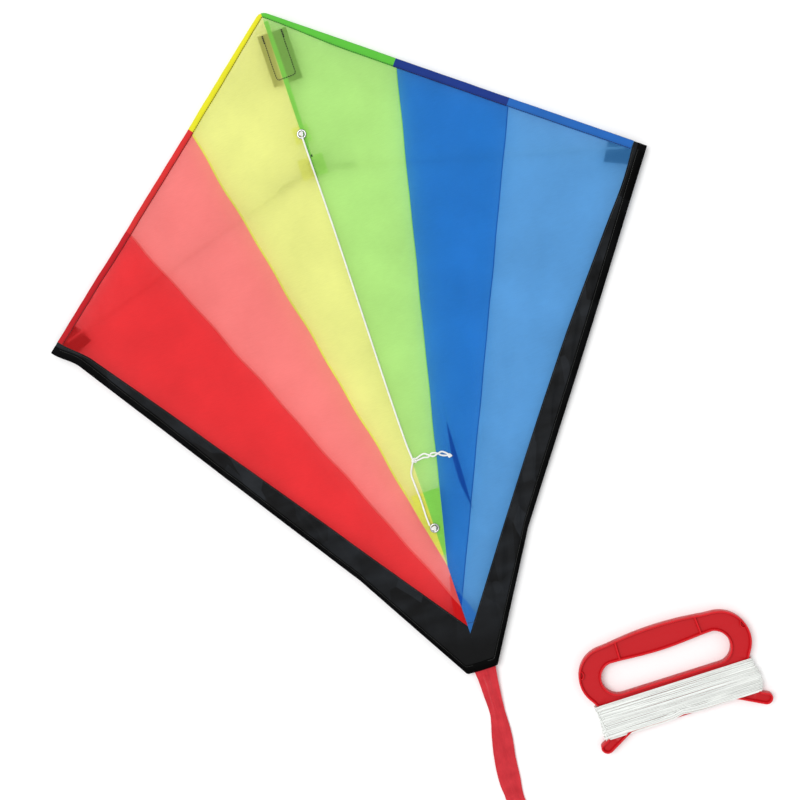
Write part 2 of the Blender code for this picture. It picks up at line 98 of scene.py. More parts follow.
PANELS = {
    "yellow": (-1, 0, "yellow_cloth"),
    "coral": (-1, 1, "coral_cloth"),
    "red": (-1, 2, "red_cloth"),
    "green": (1, 0, "green_cloth"),
    "blue": (1, 1, "blue_cloth"),
    "light_blue": (1, 2, "light_blue_cloth"),
}

# Strips of deep-coloured cloth behind a panel, which show through it (doubled cloth at the spine
# seam and the ends; at the blue crease only a darker band): the line that each lies along, the
# points on that line, its widths, the side that it lies on, and how far under the sail it is
FOLDS = {
    "green": (
        "spine_seam", (0.0, 0.150), (0.0, -0.020), 50, (0.0042, 0.0046, 0.0040, 0.0004), 1, 0.00024,
    ),
    "red": (
        "red_end_fold", (0.0, -0.420), (0.0, -0.4735), 20,
        (0.0010, 0.0060, 0.0090, 0.0070), -1, 0.00024,
    ),
    "light_blue": (
        "light_blue_end_fold", (0.0, -0.436), (0.0, -0.4800), 20,
        (0.0010, 0.0075, 0.0125, 0.0030), 1, 0.00024,
    ),
    # A deep-coloured strip that darkens the blue along a crease
    "blue": (
        "blue_crease", (0.0448, -0.2750), (0.0418, -0.3640), 40,
        (0.0004, 0.0046, 0.0050, 0.0004), -1, 0.00030,
    ),
}


# Sizes and colours that a user would change -------------------------------------------------------


def colour(label, red, green, blue):
    return bpy.props.FloatVectorProperty(
        name=label, description=f"Base colour of the {label.lower()}", subtype="COLOR",
        default=(red, green, blue), min=0.0, max=1.0, size=3,
    )


def length(label, about, default):
    return bpy.props.FloatProperty(
        name=label, description=about, default=default, min=0.0, unit="LENGTH", precision=5
    )


class KiteColours(bpy.types.PropertyGroup):
    """Cloth, cord and plastic colours."""

    red_cloth: colour("Red cloth", 0.86, 0.033, 0.041)
    coral_cloth: colour("Coral cloth", 0.985, 0.280, 0.268)
    yellow_cloth: colour("Yellow cloth", 0.875, 0.905, 0.330)
    green_cloth: colour("Green cloth", 0.525, 0.850, 0.275)
    blue_cloth: colour("Blue cloth", 0.014, 0.222, 0.650)
    light_blue_cloth: colour("Light blue cloth", 0.126, 0.402, 0.745)
    red_hem: colour("Red hem", 0.54, 0.003, 0.010)
    coral_hem: colour("Coral hem", 0.70, 0.022, 0.022)
    yellow_hem: colour("Yellow hem", 0.83, 0.79, 0.014)
    green_hem: colour("Green hem", 0.110, 0.57, 0.045)
    blue_hem: colour("Blue hem", 0.004, 0.032, 0.240)
    light_blue_hem: colour("Light blue hem", 0.012, 0.130, 0.480)
    black_cloth: colour("Black cloth", 0.0068, 0.0080, 0.0098)
    black_hem: colour("Black hem", 0.0014, 0.0015, 0.0017)
    tail_cloth: colour("Tail cloth", 0.650, 0.022, 0.035)
    white_cord: colour("White cord", 0.86, 0.86, 0.83)
    line: colour("Flying line", 0.89, 0.91, 0.88)
    winder_plastic: colour("Winder plastic", 0.62, 0.006, 0.012)
    spar_fibreglass: colour("Fibreglass rods", 0.93, 0.92, 0.87)
    black_plastic: colour("Black plastic", 0.012, 0.012, 0.013)
    clear_vinyl: colour("Vinyl sleeves", 0.86, 0.88, 0.85)
    thread: colour("Dark thread", 0.012, 0.014, 0.012)


class KiteSizes(bpy.types.PropertyGroup):
    """Sizes of the sewing, the folds, the cords and the line."""

    cell: length("Cloth cell", "Spacing of the points in each panel", 0.0026)
    hem: length("Hem", "Width of the hem along the right leading edge", 0.0083)
    left_hem: length("Left hem", "Width of the hem along the left leading edge", 0.0062)
    trim_hem: length("Trim hem", "Width of the hems along the trailing edges", 0.0085)
    stitch: length("Stitch", "Length of one stitch", 0.0023)
    thread: length("Thread", "Radius of the sewing thread", 0.00022)
    sag: length("Sag", "How far the cloth sinks between the spars", 0.0016)
    cord_radius: length("Bridle cord radius", "Radius of the bridle cord", 0.0009)
    line_radius: length("Line radius", "Radius of the flying line", 0.0004)
    line_length: length("Line length", "Length of the line on the winder", 30.0)
    tail_length: length("Tail length", "Whole length of the ribbon tail", 1.5)
    tail_width: length("Tail width", "Width of the ribbon tail", 0.025)


class StageSizes(bpy.types.PropertyGroup):
    """Floor, lights and camera."""

    distance: length("Camera distance", "Distance from the camera to the kite's plane", 1.3)
    frame: length("Frame width", "Width that the picture covers at that distance", 0.7842)
    sky: bpy.props.FloatProperty(name="Sky", description="Strength of the even light", default=0.74)
    key: bpy.props.FloatProperty(name="Key", description="Strength of the key light", default=1.35)
    floor: bpy.props.FloatProperty(name="Floor", description="Whiteness of the floor", default=0.98)


# Mesh helpers -------------------------------------------------------------------------------------


def smoothstep(low, high, value):
    share = np.clip((value - low) / (high - low), 0.0, 1.0)
    return share * share * (3.0 - 2.0 * share)


def lattice(seed, size=64):
    """A smooth random field of values from -1 to 1, one knot to each unit."""
    knots = np.random.default_rng(seed).uniform(-1.0, 1.0, (size, size))

    def field(x, y):
        x, y = np.asarray(x, float), np.asarray(y, float)
        left, low = np.floor(x).astype(int), np.floor(y).astype(int)
        u, v = x - left, y - low
        u, v = u * u * (3 - 2 * u), v * v * (3 - 2 * v)
        a, b = knots[left % size, low % size], knots[(left + 1) % size, low % size]
        c, d = knots[left % size, (low + 1) % size], knots[(left + 1) % size, (low + 1) % size]
        return (a * (1 - u) + b * u) * (1 - v) + (c * (1 - u) + d * u) * v

    return field


FIELDS = [lattice(seed) for seed in (3, 11, 23, 37, 51)]


def to_object(
    name, verts, faces, material, body=None, slot=None, smooth=True, weld=False, closed=False
):
    """A mesh object from its points and faces, with its material, riding on a body; the slot is not
    used.
    """
    mesh = bpy.data.meshes.new(name)
    mesh.from_pydata([tuple(map(float, v)) for v in verts], [], [tuple(map(int, f)) for f in faces])
    if weld or closed:
        bm = bmesh.new()
        bm.from_mesh(mesh)
        if weld:
            bmesh.ops.remove_doubles(bm, verts=bm.verts, dist=2e-6)
        if closed:
            bmesh.ops.recalc_face_normals(bm, faces=bm.faces)
        bm.to_mesh(mesh)
        bm.free()
    mesh.validate()
    if smooth:
        mesh.shade_smooth()
    mesh.materials.append(material)
    obj = bpy.data.objects.new(name, mesh)
    bpy.context.scene.collection.objects.link(obj)
    if body:
        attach(obj, body)
    return obj


def grid_faces(rows, cols, wrap=False, offset=0):
    """The squares between neighbouring points of a grid."""
    spots = np.arange(rows * cols).reshape(rows, cols) + offset
    if wrap:
        spots = np.hstack([spots, spots[:, :1]])
    a, b, c, d = spots[:-1, :-1], spots[1:, :-1], spots[1:, 1:], spots[:-1, 1:]
    return np.stack([a, b, c, d], -1).reshape(-1, 4)


def cloth_grid(name, points, material, slot, turned=False, **made):
    """A piece of cloth through a grid of points, on the kite, with its faces turned up."""
    faces = grid_faces(*points.shape[:2])
    faces = faces[:, ::-1] if turned else faces
    return to_object(name, points.reshape(-1, 3), faces, material, "kite", slot, **made)


def run_along(path):
    """The distance along a line of points, from its first point to each one."""
    return np.concatenate([[0.0], np.cumsum(np.linalg.norm(np.diff(path, axis=0), axis=1))])


def to_the_left(along):
    """Unit vectors square to these directions, on their left."""
    along = along / np.linalg.norm(along, axis=1)[:, None]
    return np.column_stack([-along[:, 1], along[:, 0]])


def route(points, spacing):
    """Points about one spacing apart on the Catmull-Rom curve through the given ones."""
    points = [np.array(p, float) for p in points]
    ends = [points[0] * 2 - points[1], *points, points[-1] * 2 - points[-2]]
    found = [points[0]]
    for a, b, c, d in zip(ends, ends[1:], ends[2:], ends[3:]):
        steps = max(1, round(float(np.linalg.norm(c - b)) / spacing))
        for step in range(1, steps + 1):
            t = step / steps
            bend = (a * 2 - b * 5 + c * 4 - d) * t * t + (b * 3 - a - c * 3 + d) * t**3
            found.append((b * 2 + (c - a) * t + bend) / 2)
    return np.array(found)


def even(path, spacing):
    """The same line, with points evenly spaced along it."""
    path = np.asarray(path, float)
    run = run_along(path)
    count = max(2, int(round(run[-1] / spacing)) + 1)
    at = np.linspace(0.0, run[-1], count)
    return np.stack([np.interp(at, run, path[:, i]) for i in range(path.shape[1])], 1), run[-1]


def frames(path):
    """A side and an up vector at each point, turning as little as possible."""
    tangents = np.gradient(path, axis=0)
    tangents /= np.linalg.norm(tangents, axis=1)[:, None] + 1e-12
    up = np.array((0.0, 0.0, 1.0))
    if abs(tangents[0] @ up) > 0.9:
        up = np.array((0.0, 1.0, 0.0))
    sides, ups = [], []
    for t in tangents:
        up = up - (up @ t) * t
        up /= np.linalg.norm(up) + 1e-12
        sides.append(np.cross(t, up))
        ups.append(up)
    return np.array(sides), np.array(ups)


def tube_grid(path, radius, sides=16, braid=0.0, lay=0.0046):
    """Rings round a path, with crossing ridges where the cord is braided, and rounded ends."""
    path = np.asarray(path, float)
    run = run_along(path)
    side, up = frames(path)
    turn = np.linspace(0.0, math.tau, sides, endpoint=False)
    wave = math.tau * run / lay
    ridge = np.maximum(
        np.cos(4 * turn[None] + wave[:, None]), np.cos(4 * turn[None] - wave[:, None])
    )
    size = radius * (1.0 - braid + braid * ridge)
    ends = np.minimum(run, run[-1] - run) / radius
    size = size * np.sqrt(np.clip(1 - (1 - np.clip(ends, 0.02, 1)) ** 2, 0, 1))[:, None]
    c, s = np.cos(turn)[None, :, None], np.sin(turn)[None, :, None]
    ring = c * side[:, None] + s * up[:, None]
    return path[:, None] + size[..., None] * ring


def tube(name, path, radius, material, sides=16, braid=0.0, **made):
    rings = tube_grid(path, radius, sides, braid)
    rows = len(rings)
    verts = list(rings.reshape(-1, 3)) + [path[0], path[-1]]
    faces = [tuple(f) for f in grid_faces(rows, sides, wrap=True)]
    first, last = rows * sides, rows * sides + 1
    for i in range(sides):
        after = (i + 1) % sides
        faces.append((first, i, after))
        faces.append((last, (rows - 1) * sides + after, (rows - 1) * sides + i))
    return to_object(name, verts, faces, material, closed=True, **made)


# Materials ----------------------------------------------------------------------------------------


class Paint:
    """A material's node tree, with short calls for the nodes that the finishes share."""

    def __init__(self, name):
        self.material = bpy.data.materials.new(name)
        self.material.use_nodes = True
        self.tree = self.material.node_tree
        self.shader = self.tree.nodes["Principled BSDF"]
        self.out = self.tree.nodes["Material Output"]

    def node(self, kind, **settings):
        made = self.tree.nodes.new("ShaderNode" + kind)
        for key, value in settings.items():
            setattr(made, key, value)
        return made

    def link(self, source, target):
        self.tree.links.new(source, target)

    def spots(self, scale=(1, 1, 1), turn=0.0, source="Object"):
        place = self.node("Mapping")
        place.inputs["Scale"].default_value = scale
        place.inputs["Rotation"].default_value = (0.0, 0.0, turn)
        self.link(self.node("TexCoord").outputs[source], place.inputs["Vector"])
        return place.outputs[0]

    def axis(self, name):
        split = self.node("SeparateXYZ")
        self.link(self.node("TexCoord").outputs["Object"], split.inputs[0])
        return split.outputs[name]

    def noise(self, where, scale, detail=2.0, rough=0.5):
        made = self.node("TexNoise")
        made.inputs["Scale"].default_value = scale
        made.inputs["Detail"].default_value = detail
        made.inputs["Roughness"].default_value = rough
        self.link(where, made.inputs["Vector"])
        return made.outputs["Fac"]

    def wave(self, where, scale, direction, distortion=0.0):
        made = self.node("TexWave", wave_type="BANDS", bands_direction=direction)
        made.inputs["Scale"].default_value = scale
        made.inputs["Distortion"].default_value = distortion
        made.inputs["Detail"].default_value = 0.0
        self.link(where, made.inputs["Vector"])
        return made.outputs["Fac"]

    def maths(self, kind, a, b=0.0):
        made = self.node("Math", operation=kind)
        for socket, value in zip(made.inputs, (a, b)):
            if isinstance(value, (int, float)):
                socket.default_value = value
            else:
                self.link(value, socket)
        return made.outputs[0]

    def spread(self, value, low, high, to_low, to_high):
        made = self.node("MapRange")
        for socket, number in zip(list(made.inputs)[1:5], (low, high, to_low, to_high)):
            socket.default_value = number
        self.link(value, made.inputs["Value"])
        return made.outputs[0]

    def share(self, field, low=0.3, high=0.7):
        """From 0 to 1 as the field runs from low to high."""
        return self.spread(field, low, high, 0.0, 1.0)

    def mixed(self, first, part, second, other):
        """Two fields added in these parts."""
        first, second = self.maths("MULTIPLY", first, part), self.maths("MULTIPLY", second, other)
        return self.maths("ADD", first, second)

    def weave(self, where, threads):
        """Threads that cross square to each other."""
        warp, weft = self.wave(where, threads, "X"), self.wave(where, threads, "Y")
        return self.maths("MULTIPLY", warp, weft)

    def coat(self, share, base, dark, light):
        """The base colour, times dark to times light as the share runs from 0 to 1."""
        main = self.blend(share, shade(base, dark), shade(base, light))
        self.link(main, self.shader.inputs["Base Color"])
        return main

    def rough(self, field, low, high):
        self.link(self.spread(field, 0.3, 0.7, low, high), self.shader.inputs["Roughness"])

    def glow(self, colour, normal):
        """Light that comes through the cloth from behind."""
        made = self.node("BsdfTranslucent")
        self.link(colour, made.inputs["Color"])
        self.link(normal, made.inputs["Normal"])
        return made.outputs[0]

    def over(self, first, second, share):
        """A share of the second surface mixed into the first."""
        made = self.node("MixShader")
        made.inputs[0].default_value = share
        self.link(first, made.inputs[1])
        self.link(second, made.inputs[2])
        return made.outputs[0]

    def surface(self, whole):
        self.link(whole, self.out.inputs["Surface"])

    def blend(self, share, first, second):
        made = self.node("Mix", data_type="RGBA")
        self.link(share, made.inputs[0])
        for socket, value in ((made.inputs[6], first), (made.inputs[7], second)):
            if isinstance(value, (tuple, list)):
                socket.default_value = (*value[:3], 1.0)
            else:
                self.link(value, socket)
        return made.outputs[2]

    def bump(self, height, distance, strength=1.0):
        made = self.node("Bump")
        made.inputs["Distance"].default_value = distance
        made.inputs["Strength"].default_value = strength
        self.link(height, made.inputs["Height"])
        self.link(made.outputs[0], self.shader.inputs["Normal"])
        return made.outputs[0]

    def set(self, **values):
        for key, value in values.items():
            socket = key.replace("_", " ").title().replace("Ior", "IOR")
            self.shader.inputs[socket].default_value = value


def shade(base, factor):
    return tuple(min(1.0, max(0.0, channel * factor)) for channel in base[:3])


MADE = {}


def finish(name, maker, *args, **named):
    if name not in MADE:
        MADE[name] = maker(name, *args, **named)
    return MADE[name]


def tint(name):
    return tuple(getattr(bpy.context.scene.kite_colours, name))


def thin_cloth(name, base, turn=0.0, through=0.45, clear=0.25):
    """Thin woven nylon: deep by its own colour, pale by the light that comes through it."""
    paint = Paint(name)
    where = paint.spots(turn=turn)
    cloud = paint.noise(where, 17.0, 3.0, 0.55)
    fibre = paint.noise(paint.spots((1.0, 9.0, 1.0), turn), 130.0, 2.0, 0.6)
    share = paint.share(paint.mixed(cloud, 0.72, fibre, 0.28), 0.34, 0.66)
    deep = tuple(c**1.5 for c in base[:3]) if clear else base
    pale = tuple(c**0.4 for c in base[:3])
    dark, light = 0.92, 1.08
    paint.coat(share, deep, dark, light)
    weave = paint.weave(where, THREADS_PER_METRE)
    height = paint.maths("ADD", weave, paint.maths("MULTIPLY", cloud, 1.5))
    normal = paint.bump(height, 0.00008, 0.55)
    paint.rough(fibre, 0.55, 0.69)
    paint.set(specular_ior_level=0.22, sheen_weight=0.10, sheen_roughness=0.45)
    glow = paint.glow(paint.blend(share, shade(pale, dark), shade(pale, light)), normal)
    gap = paint.node("BsdfTransparent")
    gap.inputs["Color"].default_value = (*pale, 1.0)
    cloth = paint.over(paint.shader.outputs[0], glow, through)
    paint.surface(paint.over(cloth, gap.outputs[0], clear))
    return paint.material


def black_nylon(name, base, turn=0.0, gloss=0.11):
    """Dense black taffeta: dull, with painted sheen and shade of its creases: greyer slanting
    streaks, darker patches, and darker towards the tail end.
    """
    paint = Paint(name)
    where = paint.spots(turn=turn)
    cloud = paint.noise(where, 26.0, 3.0, 0.6)
    patches = paint.noise(paint.spots((1.0, 3.2, 1.0), turn + 0.5), 21.0, 2.0, 0.45)
    fibre = paint.noise(paint.spots((1.0, 8.0, 1.0), turn), 160.0, 2.0, 0.6)
    planes = paint.node("TexVoronoi")
    planes.inputs["Scale"].default_value = 40.0
    paint.link(paint.spots((1.0, 0.42, 1.0), turn + 0.9), planes.inputs["Vector"])
    # Painted sheen and shade: slanting noise sets where the creased black is greyer and where it is
    # darker
    share = paint.share(paint.mixed(planes.outputs["Color"], 0.42, patches, 0.58), 0.34, 0.68)
    share = paint.maths("MULTIPLY", share, paint.share(paint.axis("Y"), -0.498, -0.452))
    # Painted: a fifth of the base colour in crease shade, nearly twice it in crease sheen
    paint.coat(share, base, 0.20, 1.9)
    weave = paint.weave(where, THREADS_PER_METRE)
    paint.bump(paint.maths("ADD", weave, paint.maths("MULTIPLY", cloud, 4.0)), 0.00010, 0.8)
    paint.rough(fibre, 0.36, 0.50)
    paint.set(specular_ior_level=gloss)
    return paint.material


def braided_cord(name, base):
    """Braided cord or sewing thread, with a fine fuzz."""
    paint = Paint(name)
    where = paint.spots()
    fuzz = paint.noise(where, 900.0, 3.0, 0.7)
    paint.coat(paint.share(paint.noise(where, 120.0), 0.35, 0.65), base, 0.93, 1.04)
    paint.bump(fuzz, 0.00012, 0.7)
    paint.rough(fuzz, 0.70, 0.88)
    paint.set(specular_ior_level=0.25, sheen_weight=0.25, sheen_roughness=0.5)
    return paint.material


def moulded(name, base, rough=0.38, grain=0.00004, specular=0.42, middle=None):
    """Moulded plastic: a fine grain, a slightly cloudy colour and scuffed gloss; given a middle
    height, painted shade darkens the recessed web round it.
    """
    paint = Paint(name)
    where = paint.spots()
    cloud = paint.noise(where, 38.0, 3.0, 0.55)
    pits = paint.noise(where, 1400.0, 2.0, 0.6)
    main = paint.coat(paint.share(cloud, 0.33, 0.67), base, 0.92, 1.08)
    if middle is not None:
        # Painted shade: the recessed web near the middle plane is darker than the rims
        height = paint.maths("ABSOLUTE", paint.maths("SUBTRACT", paint.axis("Z"), middle))
        main = paint.blend(paint.share(height, 0.0018, 0.0042), shade(base, 0.84), main)
        paint.link(main, paint.shader.inputs["Base Color"])
    paint.bump(paint.maths("ADD", pits, cloud), grain, 0.6)
    scuff = paint.noise(paint.spots((1.0, 6.0, 1.0)), 90.0, 3.0, 0.65)
    paint.rough(scuff, rough - 0.06, rough + 0.10)
    paint.set(specular_ior_level=specular)
    return paint.material


def fibreglass(name, base):
    """Pulled rod: pale resin with fine glass fibres in it."""
    paint = Paint(name)
    speck = paint.noise(paint.spots(), 260.0, 4.0, 0.7)
    paint.coat(paint.share(speck), base, 0.88, 1.05)
    paint.bump(speck, 0.00005, 0.5)
    paint.rough(speck, 0.30, 0.45)
    return paint.material


def vinyl(name, base):
    """Milky, slightly see-through vinyl."""
    paint = Paint(name)
    cloud = paint.noise(paint.spots(), 110.0, 2.0, 0.5)
    paint.coat(paint.share(cloud), base, 0.9, 1.1)
    paint.rough(cloud, 0.18, 0.30)
    paint.bump(cloud, 0.00008, 0.4)
    paint.set(transmission_weight=0.35, ior=1.5)
    return paint.material


def nickel(name):
    """Pressed sheet metal with a hazy plating."""
    paint = Paint(name)
    haze = paint.noise(paint.spots(), 420.0, 3.0, 0.6)
    main = paint.blend(paint.share(haze), (0.38, 0.38, 0.39), (0.66, 0.66, 0.67))
    paint.link(main, paint.shader.inputs["Base Color"])
    paint.rough(haze, 0.16, 0.30)
    paint.bump(haze, 0.00003, 0.5)
    paint.set(metallic=1.0)
    return paint.material


def spun_line(name, base):
    """Twisted white line, whose turns differ a little in shade."""
    paint = Paint(name)
    speck = paint.noise(paint.spots(), 700.0, 2.0, 0.6)
    bands = paint.noise(paint.spots((1.0, 14.0, 6.0), -WINDER_TURN), 42.0, 3.0, 0.6)
    paint.coat(paint.share(bands, 0.33, 0.67), base, 0.93, 1.05)
    paint.bump(speck, 0.00006, 0.6)
    paint.rough(speck, 0.45, 0.62)
    paint.set(sheen_weight=0.15, sheen_roughness=0.4)
    return paint.material


def ribbon_cloth(name, base):
    """Soft matt tail ribbon: a faint lengthwise thread and small creases."""
    paint = Paint(name)
    where = paint.spots()
    cloud = paint.noise(where, 60.0, 3.0, 0.6)
    fibre = paint.noise(paint.spots((10.0, 1.0, 1.0)), 120.0, 3.0, 0.65)
    mix = paint.mixed(cloud, 0.6, fibre, 0.4)
    light = tuple(min(1.0, c * 1.08 + 0.012) for c in base)
    main = paint.blend(paint.share(mix, 0.36, 0.64), shade(base, 0.86), light)
    paint.link(main, paint.shader.inputs["Base Color"])
    height = paint.maths("ADD", paint.weave(where, 520.0), paint.maths("MULTIPLY", mix, 3.0))
    normal = paint.bump(height, 0.00012, 0.7)
    paint.rough(fibre, 0.66, 0.82)
    paint.set(specular_ior_level=0.2, sheen_weight=0.3, sheen_roughness=0.5)
    glow = paint.glow(main, normal)
    paint.surface(paint.over(paint.shader.outputs[0], glow, 0.16))
    return paint.material


CLOTH_TURNS = {
    "yellow": 0.25, "coral": 0.45, "red": 0.62, "green": -0.12, "blue": -0.33, "light_blue": -0.55,
}


def panel_cloth(name):
    return finish(name + "_cloth", thin_cloth, tint(name + "_cloth"), CLOTH_TURNS[name])


def hem_cloth(name):
    """The same cloth three layers deep, which lets hardly any light through."""
    turn = CLOTH_TURNS[name]
    return finish(name + "_hem", thin_cloth, tint(name + "_hem"), turn, through=0.10, clear=0.0)


def black():
    return finish("black_cloth", black_nylon, tint("black_cloth"), 0.3)


def black_hem():
    return finish("black_hem", black_nylon, tint("black_hem"), 0.3, gloss=0.035)


def white_cord():
    return finish("white_cord", braided_cord, tint("white_cord"))


def thread(name=None):
    """Black thread, or thread in a panel's own dark hue."""
    if name is None:
        return finish("sewing_thread", braided_cord, tint("thread"))
    dark = tuple(0.003 + 0.13 * c for c in tint(name + "_hem"))
    return finish(name + "_thread", braided_cord, dark)


# The sail's plan and its height -------------------------------------------------------------------


def lead(share):
    return NOSE + (WING_TIP - NOSE) * share


def straight(a, b, t):
    t = np.asarray(t)[..., None]
    return np.asarray(a) * (1 - t) + np.asarray(b) * t


def beside(a, b):
    """The unit vector square to the line from a to b, towards the inside of the right half."""
    along = (np.asarray(b) - np.asarray(a)) / np.linalg.norm(np.asarray(b) - np.asarray(a))
    return np.array((along[1], -along[0]))


def trim_seam(side, t):
    """The seam between the coloured panels and the black trim, which bows inwards on the left."""
    t = np.asarray(t, float)
    start, end = lead(TRIM_START), (0.0, TRIM_SEAM_ENDS[side])
    if side < 0:
        bow = 0.0058 * smoothstep(0.0, 0.08, t) * (1 - t) ** 0.9
    else:
        bow = 0.0040 * np.sin(math.pi * t) * smoothstep(0.1, 0.4, t)
        bow = bow - 0.0018 * np.exp(-(((t - 0.08) / 0.06) ** 2)) * smoothstep(0.0, 0.04, t)
    return straight(start, end, t) + bow[..., None] * beside(start, end)


def trailing_edge(side, t):
    """The outer edge of the trim, from the wing tip by the bend to the end, hollow on the left."""
    corners = np.array([WING_TIP, EDGE_BEND, END_CORNER, (0.0, END_CORNER[1] - 0.0004)])
    run = run_along(corners)
    at = np.asarray(t, float) * run[-1]
    line = np.stack([np.interp(at, run, corners[:, i]) for i in (0, 1)], -1)
    share = np.clip(at / run[1], 0, 1)
    if side < 0:
        hollow = 0.0070 * smoothstep(0.0, 0.085, share) * (1 - share) ** 1.15
    else:
        hollow = np.sin(math.pi * share) ** 2 * -0.0008
    return line + hollow[..., None] * np.array((-0.81, 0.58))


def ray(side, index, t):
    """The seam between two panels, from the leading edge to the spine; on the left it waves."""
    start, end = lead(RAY_SHARES[side][index]), np.array((0.0, RAY_ENDS[index]))
    t = np.asarray(t, float)
    size = 0.0009 if side < 0 else 0.0003
    wave = np.sin(t * 37 + 2 * index) * np.sin(t * 11 + index) * size
    wave = wave * smoothstep(0, 0.06, t) * smoothstep(1, 0.8, t)
    return straight(start, end, t) + wave[..., None] * beside(start, end)


def panel_sides(side, index, t):
    """The inner and outer seam of a panel at shares t of their lengths, on the right half."""
    if index == 0:
        return straight(NOSE, (0.0, RAY_ENDS[0]), t), ray(side, 0, t)
    if index == 1:
        return ray(side, 0, t), ray(side, 1, t)
    return ray(side, 1, t), trim_seam(side, t)


def line_distance(x, y, a, b):
    """The distance from each point to a line between two points, and the share along it."""
    a, b = np.asarray(a, float), np.asarray(b, float)
    span = b - a
    t = np.clip(((x - a[0]) * span[0] + (y - a[1]) * span[1]) / (span @ span), 0, 1)
    return np.hypot(x - a[0] - t * span[0], y - a[1] - t * span[1]), t


def sail_height(x, y):
    """Height of the coloured cloth: it rests on the spars and sinks a little between them."""
    x, y = np.asarray(x, float), np.asarray(y, float)
    out = np.abs(x)
    side = np.where(x < 0, -1.0, 1.0)
    spreader, _ = line_distance(out, y, (HUB_EDGE, 0.0), WING_TIP)
    edge, share = line_distance(out, y, NOSE, WING_TIP)
    tip = np.hypot(out - WING_TIP[0], y - WING_TIP[1])
    free = smoothstep(0.045, 0.12, out) * smoothstep(0.055, 0.13, tip)
    sag = bpy.context.scene.kite_sizes.sag
    below = (y < -0.02 - 0.27 * out) * 1.0
    hang = sag * (1.0 + 0.7 * below) * smoothstep(0.004, 0.075, spreader) * free
    fan = np.arctan2(x, y - FAN_ROOT)
    reach = np.hypot(x, y - FAN_ROOT)
    loose = smoothstep(0.020, 0.090, out) * (0.35 + 0.65 * smoothstep(0.0, 0.06, tip))
    warp = 0.9 * FIELDS[0](x * 14 + 9, y * 9 + 4)
    waves = np.sin(fan * 46 + warp * 2.2 + reach * 3) * 0.00040
    waves += np.sin(fan * 91 + warp * 3.1 + 1.7) * 0.00016
    swell = FIELDS[1](x * 19 + 30, y * 15 + 17) * 0.00075
    swell = swell + FIELDS[2](x * 47 + 3, y * 41 + 8) * 0.00022
    ripple = FIELDS[3](x * 110 + 5, y * 96 + 40) * 0.00007
    pull = np.sin(share * 118 + 2.0 * FIELDS[4](share * 20, out * 0)) * 0.00022
    pull = pull * np.exp(-edge / 0.016)
    seams = 0.0
    for index, end in enumerate(RAY_ENDS):
        starts = [lead(RAY_SHARES[hand][index]) for hand in (-1, 1)]
        left, right = [line_distance(out, y, start, (0.0, end)) for start in starts]
        near, along = np.where(x < 0, left, right)
        pucker = np.sin(along * 330 + 3 * FIELDS[4](along * 60, side * 3 + index)) * 0.00010
        seams = seams + pucker * np.exp(-near / 0.007) - 0.00016 * np.exp(-((near / 0.0016) ** 2))
    crease, at = line_distance(x, y, (0.047, -0.235), (0.0352, -0.378))
    fold = 0.0007 * np.exp(-((crease / 0.0030) ** 2))
    fold = fold * smoothstep(0, 0.2, at) * smoothstep(1, 0.8, at)
    seams = seams * smoothstep(0.004, 0.03, out)
    return SAIL_MID - hang + (waves + swell + ripple) * loose + pull + seams + fold


def fold_wave(phase):
    """A triangle wave with slightly soft corners, for cloth that folds in flat planes."""
    return np.arcsin(0.985 * np.sin(phase)) * 2 / math.pi


def trim_height(x, y, u, v):
    """Height of the black trim: slanting creases in flat planes between its seam and its hem."""
    along = u * TRIM_LENGTH
    side = np.where(x < 0, -1.0, 1.0)
    drift = FIELDS[0](along * 16 + 20 + 7 * side, v * 1.3 + 3) * 2.0
    strength = 0.55 + 0.45 * FIELDS[1](along * 14 + 5 * side, 2.0)
    folds = fold_wave(along * 105.0 - v * 3.2 + drift) * 0.00085 * (0.3 + strength)
    folds = folds + fold_wave(along * 240.0 + v * 4.5 - drift * 1.4 + 2 * side) * 0.00030 * strength
    crease = np.exp(-((np.sin(along * 52.0 - v * 1.6 + drift * 0.8) / 0.05) ** 2)) * 0.00055
    swell = FIELDS[3](along * 30 + 11, v * 2.2 + 4 * side) * 0.0006
    body = np.clip(3.4 * v * (1.04 - v), 0, 1) ** 0.7
    flat = smoothstep(0.010, 0.035, np.abs(x))
    base = sail_height(x, y)
    base = base * (1 - v * 0.6) + (SAIL_MID - 0.0006) * v * 0.6
    body = body * (0.22 + 0.78 * flat) * smoothstep(0.0, 0.10, u + 0.02)
    return base + (folds + crease + swell) * body


def trim_point(side, u, v):
    """A point of the trim at share u from the wing tip to the end and share v across it."""
    inner, outer = trim_seam(side, u), trailing_edge(side, u)
    flat = inner * (1 - v)[..., None] + outer * v[..., None]
    x, y = flat[..., 0] * side, flat[..., 1]
    return x, y, trim_height(x, y, u, np.clip(v, 0, 1))


# Sewing -------------------------------------------------------------------------------------------


